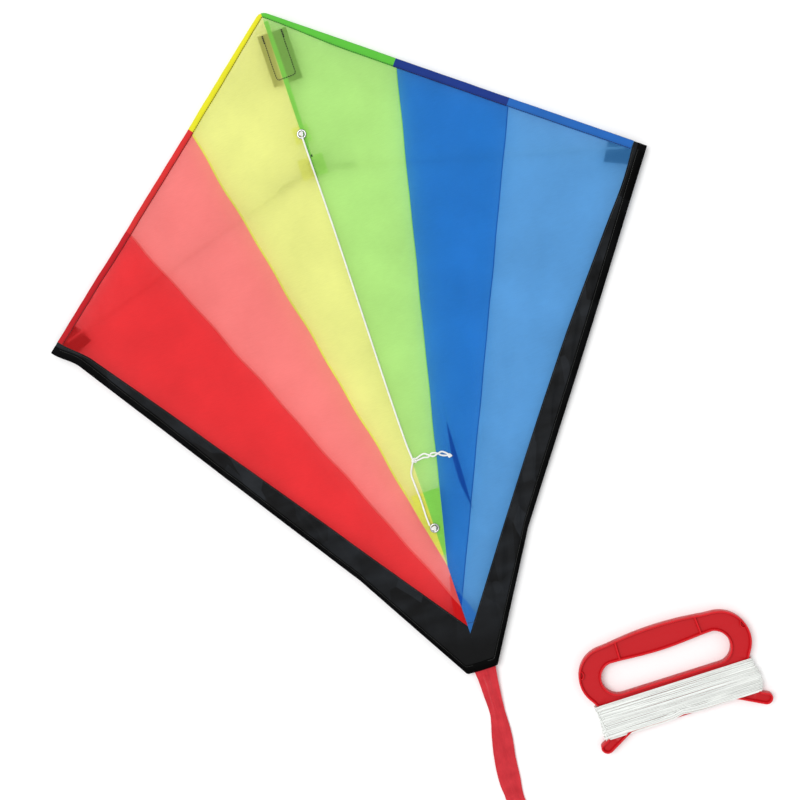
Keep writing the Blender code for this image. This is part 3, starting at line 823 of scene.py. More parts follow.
def stitch_row(name, lines, cloth=None, lift=0.00022, size=None, thickness=None):
    """Rows of single stitches along lines of points; each dips into the cloth at its ends."""
    sizes = bpy.context.scene.kite_sizes
    pitch, radius = size or sizes.stitch, thickness or sizes.thread
    verts, faces = [], []
    turn = np.linspace(0, math.tau, 6, endpoint=False)
    along = np.array((-0.44, -0.30, 0.0, 0.30, 0.44))
    rise = np.array((-1.3, 0.35, 0.8, 0.35, -1.3)) * radius
    swell = np.array((0.45, 0.95, 1.0, 0.95, 0.45)) * radius
    for line in lines:
        points, _ = even(line, pitch)
        middles = (points[1:] + points[:-1]) / 2
        steps = points[1:] - points[:-1]
        for middle, step in zip(middles, steps):
            across = np.array((-step[1], step[0], 0.0))
            across /= np.linalg.norm(across) + 1e-12
            start = len(verts)
            for a, h, r in zip(along, rise, swell):
                spot = middle + step * a + (0, 0, h + lift)
                verts += [spot + across * math.cos(k) * r + (0, 0, math.sin(k) * r) for k in turn]
            faces += [tuple(f) for f in grid_faces(5, 6, wrap=True, offset=start)]
            faces += [tuple(range(start, start + 6))[::-1], tuple(range(start + 24, start + 30))]
    return to_object(name, verts, faces, thread(cloth), "kite", closed=True)


def on_sail(points, lift=0.0):
    points = np.asarray(points, float)
    return np.column_stack([points, sail_height(points[:, 0], points[:, 1]) + lift])


LEAD_LENGTH = float(np.linalg.norm(WING_TIP - NOSE))
LEAD_INWARD = beside(NOSE, WING_TIP)


def hem_width(side, share):
    wide = bpy.context.scene.kite_sizes.hem if side > 0 else bpy.context.scene.kite_sizes.left_hem
    return 0.0050 + (wide - 0.0050) * smoothstep(0.02, 0.24, share)


def edge_row(side, first, last, count, inset):
    """Plan points a share of the hem's width inside the leading edge, mitred at the nose."""
    shares = np.linspace(first, last, count)
    offset = inset * hem_width(side, shares)
    if first == 0.0:
        mitre = -LEAD_INWARD[0] / (WING_TIP - NOSE)[0] * max(offset[0], 0.0)
        shares = mitre + shares * (last - mitre) / last
        offset = inset * hem_width(side, shares)
    return NOSE + (WING_TIP - NOSE) * shares[:, None] + offset[:, None] * LEAD_INWARD


def blunt(points):
    """The nose cut a little blunt, as the folded cloth leaves it."""
    points = np.array(points)
    points[..., 1] = np.minimum(points[..., 1], NOSE[1] - 0.0024 - 0.12 * np.abs(points[..., 0]))
    return points


def leading_hem(name, side, first, last):
    """The hem: cloth folded over the leading edge, flat on both faces of the panel."""
    count = max(8, int((last - first) * LEAD_LENGTH / 0.003))
    section = [(1.0, 0.00004), (0.985, 0.00020), (0.5, 0.00024), (0.05, 0.00020), (-0.035, 0.0)]
    section += [(0.05, -0.00024), (0.5, -0.00030), (1.0, -0.00030)]
    rows = []
    for inset, rise in section:
        flat = edge_row(side, first, last, count, inset)
        within = edge_row(side, first, last, count, max(inset, 0.0))
        z = sail_height(within[:, 0] * side, within[:, 1]) + rise
        rows.append(np.column_stack([flat[:, 0] * side, flat[:, 1], z]))
    points = blunt(np.stack(rows, 1))
    return cloth_grid(name + "_hem", points, hem_cloth(name), name + "_cloth", turned=side > 0)


def flat_strip(name, edge, width, side_of, drop, material, slot):
    """A narrow strip of cloth under the sail along a line, on one side of it."""
    edge, _ = even(edge, 0.003)
    across = to_the_left(np.gradient(edge, axis=0)) * side_of
    width = np.atleast_1d(width)
    stations = np.linspace(0, 1, len(width))
    widths = np.interp(np.linspace(0, 1, len(edge)), stations, width)[:, None]
    rows = []
    for share in (-0.06, 0.0, 0.5, 1.0):
        flat = edge + across * widths * share
        rows.append(np.column_stack([flat, sail_height(flat[:, 0], flat[:, 1]) - drop]))
    return cloth_grid(name, np.stack(rows, 1), material, slot)


# Operators ----------------------------------------------------------------------------------------


class KITE_OT_stage(bpy.types.Operator):
    """Make the pale floor, the soft studio light and the camera"""

    bl_idname = "kite.stage"
    bl_label = "Stage"

    def execute(self, context):
        setup = context.scene.kite_stage
        paint = Paint("studio_floor")
        paint.coat(paint.share(paint.noise(paint.spots(), 2.0)), (setup.floor,) * 3, 0.997, 1.003)
        paint.set(roughness=0.9, specular_ior_level=0.0)
        signs = ((-1, -1), (1, -1), (1, 1), (-1, 1))
        corners = [(x * FLOOR_HALF, y * FLOOR_HALF, -0.0004) for x, y in signs]
        floor = to_object("studio_floor", corners, [(0, 1, 2, 3)], paint.material, smooth=False)

        world = bpy.data.worlds.new("studio")
        world.use_nodes = True
        sky = world.node_tree.nodes["Background"]
        sky.inputs["Color"].default_value = (1.0, 1.0, 1.0, 1.0)
        sky.inputs["Strength"].default_value = setup.sky
        context.scene.world = world
        sun = bpy.data.lights.new("key_light", "SUN")
        sun.energy = setup.key
        sun.angle = math.radians(38)
        lamp = bpy.data.objects.new("key_light", sun)
        lamp.rotation_euler = Vector((-0.34, 0.30, 1.0)).to_track_quat("Z", "Y").to_euler()
        context.scene.collection.objects.link(lamp)

        turn = Matrix.Identity(4)
        for degrees, axis in ((-5.18, "Y"), (3.65, "X"), (18.39, "Z")):
            turn = turn @ Matrix.Rotation(math.radians(degrees), 4, axis)
        lens = bpy.data.cameras.new("camera")
        lens.sensor_width = 36.0
        lens.lens = 36.0 * setup.distance / setup.frame
        lens.clip_start, lens.clip_end = 0.01, 50.0
        camera = bpy.data.objects.new("camera", lens)
        target = Matrix.Translation((0.008, -0.2405, SAIL_MID))
        back = Matrix.Translation((0.0, 0.0, setup.distance))
        camera.matrix_world = target @ turn.transposed() @ back
        context.scene.collection.objects.link(camera)
        context.scene.camera = camera
        context.scene.view_settings.view_transform = "Standard"
        return {"FINISHED"}


def tight_knot(name, centre, size, cord, flat, body, replaced, tilt):
    """An overhand knot pulled tight, in the cord's own thickness."""
    sides = 12
    t = np.linspace(0.0, math.tau, 90, endpoint=False)
    x, y = np.sin(t) + 2 * np.sin(2 * t), np.cos(t) - 2 * np.cos(2 * t)
    shape = np.column_stack([x, y, -1.5 * np.sin(3 * t)])
    shape *= (size - cord * 0.8) / 3.0
    shape[:, 2] *= flat
    c, s = math.cos(tilt), math.sin(tilt)
    spin = np.array(((c, -s, 0), (s, c, 0), (0, 0, 1)))
    path = shape @ spin.T + np.array(centre)
    path = np.vstack([path, path[:1]])
    rings = tube_grid(path, cord * 0.8, sides, 0.05)
    rings[0] = tube_grid(path[[-2, 0, 1]], cord * 0.8, sides, 0.0)[1]
    verts = rings[:-1].reshape(-1, 3)
    faces = [tuple(f) for f in grid_faces(len(rings) - 1, sides, wrap=True)]
    last = (len(rings) - 2) * sides
    for i in range(sides):
        after = (i + 1) % sides
        faces.append((last + i, i, after, last + after))
    knot = to_object(name, verts, faces, white_cord(), body, "white_cord", closed=True)
    if replaced:
        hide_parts(replaced)
    return knot


class KITE_OT_bridle(bpy.types.Operator):
    """Tie the bridle cord, its knots and the tow loop"""

    bl_idname = "kite.bridle"
    bl_label = "Bridle and tow loop"

    def execute(self, context):
        radius = context.scene.kite_sizes.cord_radius
        upper = [
            (0.0, UPPER_EYE - 0.0028, CORD_Z), (-0.0002, 0.020, LAY_Z + 0.0004),
            (0.0004, -0.060, LAY_Z), (0.0, -0.150, LAY_Z), (-0.0004, -0.230, LAY_Z),
            (0.0, -0.281, LAY_Z), (KNOT.x - 0.0012, KNOT.y + 0.0012, KNOT.z),
        ]
        lower = [
            (KNOT.x - 0.0020, KNOT.y - 0.0012, KNOT.z), (-0.0046, -0.3125, LAY_Z),
            (-0.0048, -0.322, LAY_Z), (-0.0040, -0.340, LAY_Z), (-0.0042, -0.357, LAY_Z),
            (-0.0036, LOWER_EYE + 0.0035, LAY_Z + 0.0010),
        ]
        knot = ("bridle_knot_tied", KNOT, 0.0030, radius, 0.62, "bridle", "bridle_knot", 0.6)
        legs = ("bridle_upper_leg", "bridle_lower_leg")
        self.cord("bridle_cord", route(upper + lower, 0.0006), "bridle", legs, "object", knot)
        for name, node, spot, size in (
            ("upper_eyelet_knot", "upper_end_knot", (0.0, UPPER_EYE, CORD_Z), 0.0027),
            ("lower_eyelet_knot", "lower_end_knot", (-0.0004, LOWER_EYE, CORD_Z), 0.0029),
        ):
            tight_knot(name, spot, size, radius, 0.35, "kite", node, 0.3)
        self.tow_loop(radius)
        return {"FINISHED"}

    def cord(self, name, line, body, replaced, far_end, knot):
        """A braided cord along a line, with its knot."""
        radius = bpy.context.scene.kite_sizes.cord_radius
        path, run = even(line, CORD_STEP)
        cord = tube(name, path, radius, white_cord(), braid=0.09, body=body, slot="white_cord")
        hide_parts(*replaced)
        knot = tight_knot(*knot)

    def tow_loop(self, radius):
        """Two strands that cross each other and end in one small knot."""
        out = [
            (0.0128, -0.2978, 0.0), (0.0171, -0.3000, 0.0006), (0.0214, -0.3030, 0.0014),
            (0.0262, -0.3020, 0.0010), (0.0305, -0.3012, 0.0), (0.0342, -0.3036, 0.0),
        ]
        back = [
            (0.0362, -0.3062, 0.0), (0.0336, -0.3062, 0.0), (0.0296, -0.3046, 0.0),
            (0.0250, -0.3008, -0.0001), (0.0205, -0.2998, 0.0), (0.0165, -0.3024, 0.0),
            (0.0120, -0.3014, 0.0),
        ]
        strands = [(x, y, LAY_Z + z) for x, y, z in [*out, *back]]
        start, end = [(KNOT.x + 0.0016, KNOT.y + shift, KNOT.z) for shift in (0.0010, -0.0010)]
        spot = (0.0372, -0.3074, LAY_Z + 0.0002)
        knot = ("tow_loop_end", spot, 0.0024, radius, 0.5, "tow_line", "tow_loop_knot", 1.2)
        line = route([start, *strands, end], 0.0005)
        self.cord("tow_loop_cord", line, "tow_line", ("tow_loop",), "knot", knot)


def from_winder(points):
    """Points in the winder's own frame, moved to where it lies."""
    points = np.asarray(points, float)
    c, s = math.cos(WINDER_TURN), math.sin(WINDER_TURN)
    x = WINDER_PLACE[0] + points[..., 0] * c - points[..., 1] * s
    y = WINDER_PLACE[1] + points[..., 0] * s + points[..., 1] * c
    return np.stack([x, y, points[..., 2]], -1)


class KITE_OT_line(bpy.types.Operator):
    """Wind the flying line round the winder's waist"""

    bl_idname = "kite.line"
    bl_label = "Flying line"

    def execute(self, context):
        sizes = context.scene.kite_sizes
        rng = np.random.default_rng(8)
        pitch, turns, loose_turns = 2 * sizes.line_radius, 88, 5
        points = []
        slots = int((NECK_TOP - NECK_END - 0.002) / pitch)
        for k in range(turns):
            layer, place = divmod(k, slots)
            share = place / (slots - 1)
            share = 1 - share if layer % 2 else share
            jitter = 0.0 if layer == 0 else 0.0009
            left = NECK_TOP - 0.0010 - share * 0.0334 + rng.uniform(-1, 1) * jitter
            right = NECK_TOP - 0.0010 - share * 0.0330 + rng.uniform(-1, 1) * jitter
            slanting = k - turns + loose_turns
            if slanting >= 0:
                left, right = -0.0545 + 0.0004 * (k % 3), -0.0470 - 0.0014 * slanting
            level = 0.0029 + min(layer, 2) * 0.00080 + rng.uniform(0, 1) * 0.0002 * min(layer, 1)
            back_left = left - pitch / 2 + rng.uniform(-1, 1) * jitter * 0.6
            points += self.turn(left, right, back_left, level, layer, rng)
        path = from_winder(points)
        curve = bpy.data.curves.new("wound_line", "CURVE")
        curve.dimensions = "3D"
        curve.bevel_depth = sizes.line_radius
        curve.bevel_resolution = 1
        curve.use_fill_caps = True
        spline = curve.splines.new("POLY")
        spline.points.add(len(path) - 1)
        spline.points.foreach_set("co", np.column_stack([path, np.ones(len(path))]).ravel())
        spline.use_smooth = True
        curve.materials.append(finish("line", spun_line, tint("line")))
        line = bpy.data.objects.new("wound_line", curve)
        context.scene.collection.objects.link(line)
        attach(line, "winder")
        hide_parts("line_wrap")
        knot = tight_knot("line_end_knot", path[-1], 0.0012, 0.00055, 0.3, "winder", None, 0.2)
        return {"FINISHED"}

    def turn(self, left, right, back_left, level, layer, rng):
        """One turn: over the front to the right, round the neck, back behind and round again."""
        points = []
        bulge = 0.0036 * math.exp(-(((right + 0.041) / 0.010) ** 2)) + 0.0003 * layer
        left_x = -NECK_X - 0.0006 - 0.0004 * layer
        left_x -= 0.0012 * math.exp(-(((left + 0.050) / 0.006) ** 2))
        right_x = NECK_X + 0.0006 + bulge
        sway = rng.uniform(-1, 1) * 0.00035
        for share in np.linspace(0.02, 0.98, 15):
            x = left_x * (1 - share) + right_x * share
            gap = 0.0022 * math.exp(-(((x - 0.001) / 0.009) ** 2)) if left < -0.0535 else 0.0
            y = left * (1 - share) + right * share + sway * math.sin(math.pi * share) + gap
            z = WEB_MIDDLE + level + 0.0002 * math.sin(math.pi * share)
            points.append((x, y, z))
        for a in np.radians(np.linspace(70, -70, 6)):
            x, z = right_x + level * 0.42 * math.cos(a), WEB_MIDDLE + level * math.sin(a) * 1.02
            points.append((x, right, z))
        for share in np.linspace(0.98, 0.02, 13):
            x = left_x * (1 - share) + right_x * share
            points.append((x, back_left * (1 - share) + right * share, WEB_MIDDLE - level))
        for a in np.radians(np.linspace(-70, 70, 6)):
            x, z = left_x - level * 0.42 * math.cos(a), WEB_MIDDLE + level * math.sin(a) * 1.02
            points.append((x, back_left, z))
        return points


class KITE_OT_panels(bpy.types.Operator):
    """Cut and sew the six coloured panels"""

    bl_idname = "kite.panels"
    bl_label = "Sail panels"

    def execute(self, context):
        cell = context.scene.kite_sizes.cell
        t = np.linspace(0, 1, int(0.50 / cell) + 1)
        t = t + 0.12 * t * (1 - t)
        s = np.linspace(0, 1, max(12, int(0.125 / cell)) + 1)[None, :, None]
        for name, (side, index, slot) in PANELS.items():
            inner, outer = panel_sides(side, index, t)
            flat = inner[:, None] * (1 - s) + outer[:, None] * s
            x, y = flat[..., 0] * side, flat[..., 1]
            points = blunt(np.stack([x, y, sail_height(x, y)], -1))
            faces = grid_faces(*points.shape[:2])
            faces = faces if side > 0 else faces[:, ::-1]
            points = points.reshape(-1, 3)
            if index == 0:
                faces = self.without_eyelets(points, faces)
            cloth, piece = panel_cloth(name), name + "_cloth_panel"
            panel = to_object(piece, points, faces, cloth, "kite", slot, weld=True)
            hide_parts(name + "_panel")
            self.sewing(name, side, index)
        return {"FINISHED"}

    def without_eyelets(self, points, faces):
        middles = points[faces].mean(1)
        keep = np.ones(len(faces), bool)
        for y in (UPPER_EYE, LOWER_EYE):
            keep &= np.hypot(middles[:, 0], middles[:, 1] - y) > EYELET_HOLE
        return faces[keep]

    def cut_size(self, corners):
        """The width and the length of the cloth that the panel is cut from."""
        a, b = max(((a, b) for a in corners for b in corners), key=lambda ends: math.dist(*ends))
        long = math.dist(a, b)
        along = (b - a) / long
        across = [(c - a) @ np.array((-along[1], along[0])) for c in corners]
        return float(max(across) - min(across)), float(long)

    def sewing(self, name, side, index):
        """The hem along the leading edge, the seam allowance and the rows of stitches."""
        shares = (0.0, *RAY_SHARES[side], TRIM_START - 0.001)
        first, last = shares[index], shares[index + 1]
        made = [leading_hem(name, side, first, last)]
        row = on_sail(edge_row(side, first, last, 60, 0.93) * (side, 1))
        made.append(stitch_row(name + "_hem_stitches", [row], name, 0.00052, thickness=0.00030))
        material, slot = hem_cloth(name), name + "_cloth"
        if index < 2:
            line = ray(side, index, np.linspace(0.012, 0.97, 120)) * (side, 1)
            width = 0.0018 if side < 0 else 0.0008
            made.append(flat_strip(name + "_seam", line, width, -side, 0.00022, material, slot))
        if name in FOLDS:
            fold, start, end, count, widths, side_of, drop = FOLDS[name]
            line = straight(start, end, np.linspace(0, 1, count))
            made.append(flat_strip(fold, line, widths, side_of, drop, material, slot))
        if name == "light_blue":
            row = straight((0.0008, -0.4705), (0.0095, -0.4712), np.linspace(0, 1, 8))
            made.append(stitch_row("light_blue_end_stitches", [on_sail(row)], name, lift=0.0003))
        return made


class KITE_OT_trims(bpy.types.Operator):
    """Gather the black trims along the trailing edges, with their hems"""

    bl_idname = "kite.trims"
    bl_label = "Black trims"

    def execute(self, context):
        for side, name in ((1, "right_trim"), (-1, "left_trim")):
            shares = np.linspace(0.0, 1.0, 230), np.linspace(0.0, 1.0, 26)
            points = np.stack(trim_point(side, *np.meshgrid(*shares, indexing="ij")), -1)
            trim = cloth_grid(
                name + "_cloth", points, black(), "black_cloth", turned=side < 0, weld=True
            )
            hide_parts(name)
            self.hem(side, name)
            self.rows(side, name)
        return {"FINISHED"}

    def hem(self, side, name):
        """The hem: the edge turned under twice, a little proud of the gathers."""
        width = bpy.context.scene.kite_sizes.trim_hem
        u = np.linspace(0.0, 1.0, 230)
        inner, outer = trim_seam(side, u), trailing_edge(side, u)
        reach = np.linalg.norm(outer - inner, axis=1)
        turn = [
            (width, 0.00030), (width * 0.97, 0.00052), (width * 0.5, 0.00062), (0.0004, 0.00048),
            (-0.0003, 0.0001), (0.0004, -0.00030), (width * 0.6, -0.00034),
        ]
        rows = []
        for inset, lift in turn:
            share = 1 - np.clip(inset / np.maximum(reach, 0.0005), -1.0, 0.96)
            x, y, z = trim_point(side, u, np.clip(share, 0, 1.02))
            rows.append(np.column_stack([x, y, z + lift]))
        points = np.stack(rows, 1)
        return cloth_grid(
            name + "_hem", points, black_hem(), "black_cloth", turned=side > 0, weld=True
        )

    def rows(self, side, name):
        """One row of stitches along the hem's inner edge, and one along the seam."""
        u = np.linspace(0.012, 0.985, 260)
        reach = np.linalg.norm(trailing_edge(side, u) - trim_seam(side, u), axis=1)
        hem_row = 1 - np.clip((bpy.context.scene.kite_sizes.trim_hem - 0.0014) / reach, 0, 0.9)
        seam_row = np.clip(0.0016 / reach, 0, 0.4)
        lines = []
        for share, lift in ((hem_row, 0.0005), (seam_row, 0.0001)):
            x, y, z = trim_point(side, u, share)
            lines.append(np.column_stack([x, y, z + lift]))
        return stitch_row(name + "_stitches", lines)


def sewn_pouch(node, outline, wall, spar, bulge=(0.0030, 0.0062)):
    """A pocket under the sail: its sewn margins lie flat, and it bulges only along its spar.

    The wall is the end that is sewn shut: the first side of the outline or the third.
    """
    a, b, c, d = [np.array(p, float) for p in outline]
    steps = np.linspace(0, 1, 26)
    s, t = np.meshgrid(steps, steps, indexing="ij")
    flat = straight(straight(a, b, s), straight(d, c, s), t)
    x, y = flat[..., 0], flat[..., 1]
    lift = smoothstep(*bulge, line_distance(x, y, *spar)[0])
    lift = np.maximum(lift, 1 - smoothstep(0.02, 0.14, t if wall == "first" else 1 - t))
    top = np.minimum(UNDER + 0.00025, sail_height(x, y) - 0.00030)
    drape = FIELDS[2](x * 160, y * 160) * 0.00012
    z = POCKET_FLOOR + (top - POCKET_FLOOR) * lift + drape * (1 - lift)
    points = np.stack([x, y, z], -1)
    pouch = cloth_grid(node + "_cloth", points, black(), "black_cloth")
    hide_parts(node)


class KITE_OT_pockets(bpy.types.Operator):
    """Sew the pockets and the reinforcing patches behind the sail"""

    bl_idname = "kite.pockets"
    bl_label = "Pockets and patches"

    def execute(self, context):
        spine = ((0.0, 0.2), (0.0, -0.6))
        nose = [(-0.0108, 0.0868), (0.0187, 0.0868), (0.0187, 0.1385), (-0.0108, 0.1385)]
        sewn_pouch("nose_pocket", nose, "third", spine)
        end = [(0.0090, -0.468), (-0.0090, -0.468), (-0.0090, -0.5085), (0.0090, -0.5085)]
        sewn_pouch("tail_pocket", end, "third", spine)
        for side, name in ((1, "right_wing_pocket"), (-1, "left_wing_pocket")):
            corners = (lead(0.985), lead(0.905), (0.2665, -0.0858), (0.2920, -0.0975))
            corners = [(side * x, y - 0.0004) for x, y in corners]
            rod = ((side * HUB_EDGE, 0.0), (side * WING_TIP[0], WING_TIP[1]))
            sewn_pouch(name, corners, "first", rod, (0.0022, 0.0040))
        self.patch("lower_eyelet_patch", (-0.0125, 0.0165), (-0.3990, -0.3340), "green", LOWER_EYE)
        self.patch("upper_eyelet_patch", (-0.0080, 0.0080), (0.0270, 0.0440), "yellow", UPPER_EYE)
        self.patch("crossing_patch", (-0.0130, 0.0130), (-0.0080, 0.0125), "yellow", None)
        stitch_row("nose_pocket_stitches", self.pocket_rows(), thickness=0.00036)
        stitch_row("nose_pocket_tacks", self.tacks(), size=0.0016, thickness=0.00042)
        tack = []
        for y in (0.0122, 0.0129, 0.0136):
            row = straight((0.0014, y), (0.0036, y - 0.0002), np.linspace(0, 1, 4))
            tack.append(on_sail(row))
        stitch_row("crossing_tack", tack, "green", size=0.0022, thickness=0.00040)
        return {"FINISHED"}

    def patch(self, node, x_range, y_range, cloth, eye):
        """A patch in two colours, cut off at the seams and round its eyelet."""
        (left, right), (low, high) = x_range, y_range
        nx, ny = [max(12, int(size / 0.0011)) for size in (right - left, high - low)]
        x, y = np.meshgrid(np.linspace(left, right, nx), np.linspace(low, high, ny), indexing="ij")
        z = sail_height(x, y) - 0.00034 + FIELDS[3](x * 300, y * 300) * 0.00004
        points = np.stack([x, y, z], -1).reshape(-1, 3)
        faces = grid_faces(nx, ny)
        middles = points[faces].mean(1)
        keep = np.ones(len(faces), bool)
        if eye is not None:
            keep = np.hypot(middles[:, 0], middles[:, 1] - eye) > EYELET_HOLE + 0.0001
        for side in (-1, 1):
            start = lead(RAY_SHARES[side][0])
            seam = (middles[:, 1] - RAY_ENDS[0]) / (start[1] - RAY_ENDS[0]) * start[0]
            keep &= middles[:, 0] * side < seam - 0.0004
        faces, middles = faces[keep], middles[keep]
        shades = hem_cloth if eye == LOWER_EYE else panel_cloth
        patch = to_object(node + "_cloth", points, faces, shades("green"), "kite")
        patch.data.materials.append(shades("yellow"))
        patch.data.polygons.foreach_set("material_index", (middles[:, 0] < 0).astype(np.int32))
        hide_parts(node)

    def pocket_rows(self):
        """The U of stitches that holds the nose pocket."""
        left, right, low, high = -0.0060, 0.0136, 0.0922, 0.1310
        points = [
            (left + 0.0002, high), (left, 0.105), (left + 0.0004, low + 0.001),
            (left + 0.0016, low), (right - 0.0010, low + 0.0004), (right, low + 0.0016),
            (right - 0.0002, high),
        ]
        path = route([(*p, 0.0) for p in points], 0.0012)[:, :2]
        return [on_sail(path)]

    def tacks(self):
        """The heavy stitches at the two ends of the U."""
        rows = []
        for x, shift in ((-0.0060, 0.0), (0.0134, 0.0004)):
            for step in (-0.0003, 0.0, 0.0003):
                high = np.linspace(0.1297, 0.1378, 12)
                path = np.column_stack([np.full(12, x + step + shift), high])
                rows.append(on_sail(path, 0.0001 * (step == 0)))
        return rows


class KITE_OT_metal(bpy.types.Operator):
    """Press the eyelets and finish the spars, caps, hub and sleeves"""

    bl_idname = "kite.metal"
    bl_label = "Eyelets and spars"

    def execute(self, context):
        metal = finish("eyelet_metal", nickel)
        for node, y in (("upper_eyelet", UPPER_EYE), ("lower_eyelet", LOWER_EYE)):
            self.ring(node, y, metal)
        rod = finish("spar_fibreglass", fibreglass, tint("spar_fibreglass"))
        plastic = finish("black_plastic", moulded, tint("black_plastic"), 0.45, 0.00003, 0.4)
        milky = finish("clear_vinyl", vinyl, tint("clear_vinyl"))
        for material, names in (
            (rod, ("spine_rod", "left_spreader_rod", "right_spreader_rod")),
            (plastic, ("spine_nose_cap", "spine_tail_cap")),
            (plastic, ("left_spreader_cap", "right_spreader_cap")),
            (white_cord(), ("upper_hitch", "lower_hitch")),
            (milky, ("cross_hub", "left_spreader_sleeve", "right_spreader_sleeve")),
        ):
            for name in names:
                for slot in frame["nodes"][name].material_slots:
                    slot.material = material
        return {"FINISHED"}

    def ring(self, node, y, metal):
        """A flange rolled over at both edges, with a barrel through the cloth."""
        low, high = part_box(node)
        hole, outer = 0.0027, high.x - (high.x + low.x) / 2 + 0.0003
        profile = []
        middle, half = (hole + 0.0002 + outer) / 2, (outer - hole - 0.0002) / 2
        for a in np.radians(np.linspace(-20, 200, 15)):
            rise = 0.0006 * max(-0.2, math.sin(a))
            profile.append((middle + half * math.cos(a), high.z - 0.0006 + rise))
        profile += [(hole, high.z - 0.0010), (hole, low.z + 0.0001), (hole + 0.0004, low.z)]
        profile += [(hole + 0.0005, high.z - 0.0011), (outer - 0.0006, high.z - 0.00085)]
        steps, n = 64, len(profile)
        turn = np.linspace(0, math.tau, steps, endpoint=False)
        verts = [(r * math.cos(a), y + r * math.sin(a), z) for a in turn for r, z in profile]
        faces = []
        for i in range(steps):
            here, there = i * n, (i + 1) % steps * n
            for j in range(n):
                k = (j + 1) % n
                faces.append((here + j, here + k, there + k, there + j))
        ring = to_object(node + "_ring", verts, faces, metal, "kite", "eyelet_metal", closed=True)
        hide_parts(node)


class KITE_OT_tail(bpy.types.Operator):
    """Hang the ribbon tail and fold its length into a flat bundle"""

    bl_idname = "kite.tail"
    bl_label = "Tail"

    def execute(self, context):
        sizes = context.scene.kite_sizes
        cloth = finish("tail_cloth", ribbon_cloth, tint("tail_cloth"))
        stations = [
            (0.0026, -0.5080, 0.0052, 0.0108), (0.0024, -0.5196, 0.0050, 0.0110),
            (0.0020, -0.530, 0.0044, 0.0098), (0.0010, -0.545, 0.0028, 0.0088),
            (-0.0003, -0.567, 0.0014, 0.0079), (-0.0034, -0.588, 0.0010, 0.0103),
            (-0.0080, -0.614, 0.0009, 0.0110), (-0.0102, -0.636, 0.0009, 0.0107),
            (-0.0109, -0.652, 0.0009, 0.0092), (-0.0118, -0.6705, 0.0009, 0.0110),
        ]
        path = route(stations, 0.0016)
        across = np.linspace(-1, 1, RIBBON_POINTS)
        strip = np.stack([self.cross_section(across, *station) for station in path], 0)
        run = float(run_along(path[:, :3])[-1])
        points = np.concatenate([strip, self.bundle(across, sizes.tail_length - run)], 0)
        faces = grid_faces(*points.shape[:2])
        ribbon = to_object("tail_ribbon", points.reshape(-1, 3), faces, cloth, slot="tail_cloth")
        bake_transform(ribbon)
        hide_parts("tail_strip", "tail_folds")
        return {"FINISHED"}

    def cross_section(self, across, x, y, z, half):
        """The ribbon's points across its width, with two folds where it leaves the kite."""
        full = bpy.context.scene.kite_sizes.tail_width / 2
        slack = max(0.0, (full - half) / full)
        root = float(smoothstep(-0.600, -0.535, y) * smoothstep(-0.5235, -0.5285, y))
        bend = np.abs(across - (-0.32 + 0.10 * root)) * 9
        fold = np.exp(-(bend**2) / 2) * 0.0026 * root
        fold = fold + np.exp(-(((across - 0.02) * 9) ** 2) / 2) * 0.0016 * root
        waves = np.cos(across * 7 + y * 60) * 0.0012 * slack
        waves = waves + np.sin(across * 3.1 + y * 55) * 0.0003
        soft = FIELDS[2](x * 120 + across * 3, y * 90 + 5) * 0.00035
        height = z + fold + (waves + soft + 0.0004) * (1 if y < -0.53 else 0.3)
        edge = 1 - 0.02 * np.abs(FIELDS[1](y * 90, across * 0 + 3))
        flat = x + across * half * edge
        return np.column_stack([flat, np.full(len(across), y), np.maximum(height, 0.0004)])

    def bundle(self, across, left):
        """Runs of the ribbon laid to and fro on each other in line with the kite."""
        turn = math.radians(-4.0)
        along = np.array((math.sin(turn), -math.cos(turn)))
        side = np.array((math.cos(turn), math.sin(turn)))
        start = np.array((-0.0122, -0.6712))
        reach, pitch = 0.0870, 0.00078
        runs = int(left / reach)
        width = side[None] * (across * bpy.context.scene.kite_sizes.tail_width / 2 * 0.985)[:, None]
        rng = np.random.default_rng(5)
        rows = []
        for k in range(runs):
            forward = k % 2 == 0
            wobble, sideways = rng.uniform(-0.0022, 0.0010), rng.uniform(-0.0007, 0.0007)
            for share in np.linspace(0.0, 1.0, 34):
                s = share if forward else 1 - share
                run = 0.0022 + s * (reach + (wobble if forward else 0.0) - 0.004)
                centre = start + along * run + side * sideways * math.sin(math.pi * share)
                wave = FIELDS[1](run * 60 + k * 7, across * 1.2) * 0.00018
                rows.append(np.column_stack([centre + width, RIBBON_LAY + k * pitch + wave]))
            if k < runs - 1:
                for a in np.radians((-50, 0, 50)):
                    bulge = pitch * 1.3 * math.cos(a) * (1 if forward else -1)
                    z = RIBBON_LAY + (k + 0.5 + 0.5 * math.sin(a)) * pitch
                    flat = start + along * (run + bulge) + width
                    rows.append(np.column_stack([flat, np.full(len(across), z)]))
        return np.stack(rows, 0)


def arc(centre, radii, first, last, steps):
    (x, y), (wide, high) = centre, radii
    angles = np.radians(np.linspace(first, last, steps + 1))
    return [(x + wide * math.cos(a), y + high * math.sin(a)) for a in angles]


def grip_top(x):
    """The winder's upper edge, which falls a little towards its ends."""
    return 0.0366 - 0.0042 * (x / 0.052) ** 2


def grip_base(x):
    """The finger hole's upper edge, which swells down in the middle."""
    return 0.0118 + 0.0028 * abs(x / 0.045) ** 1.6


def mirrored(half, middle):
    """The right half of an outline, its middle, and the half again on the left."""
    return [*half, *middle, *reversed([(-x, y) for x, y in half])]


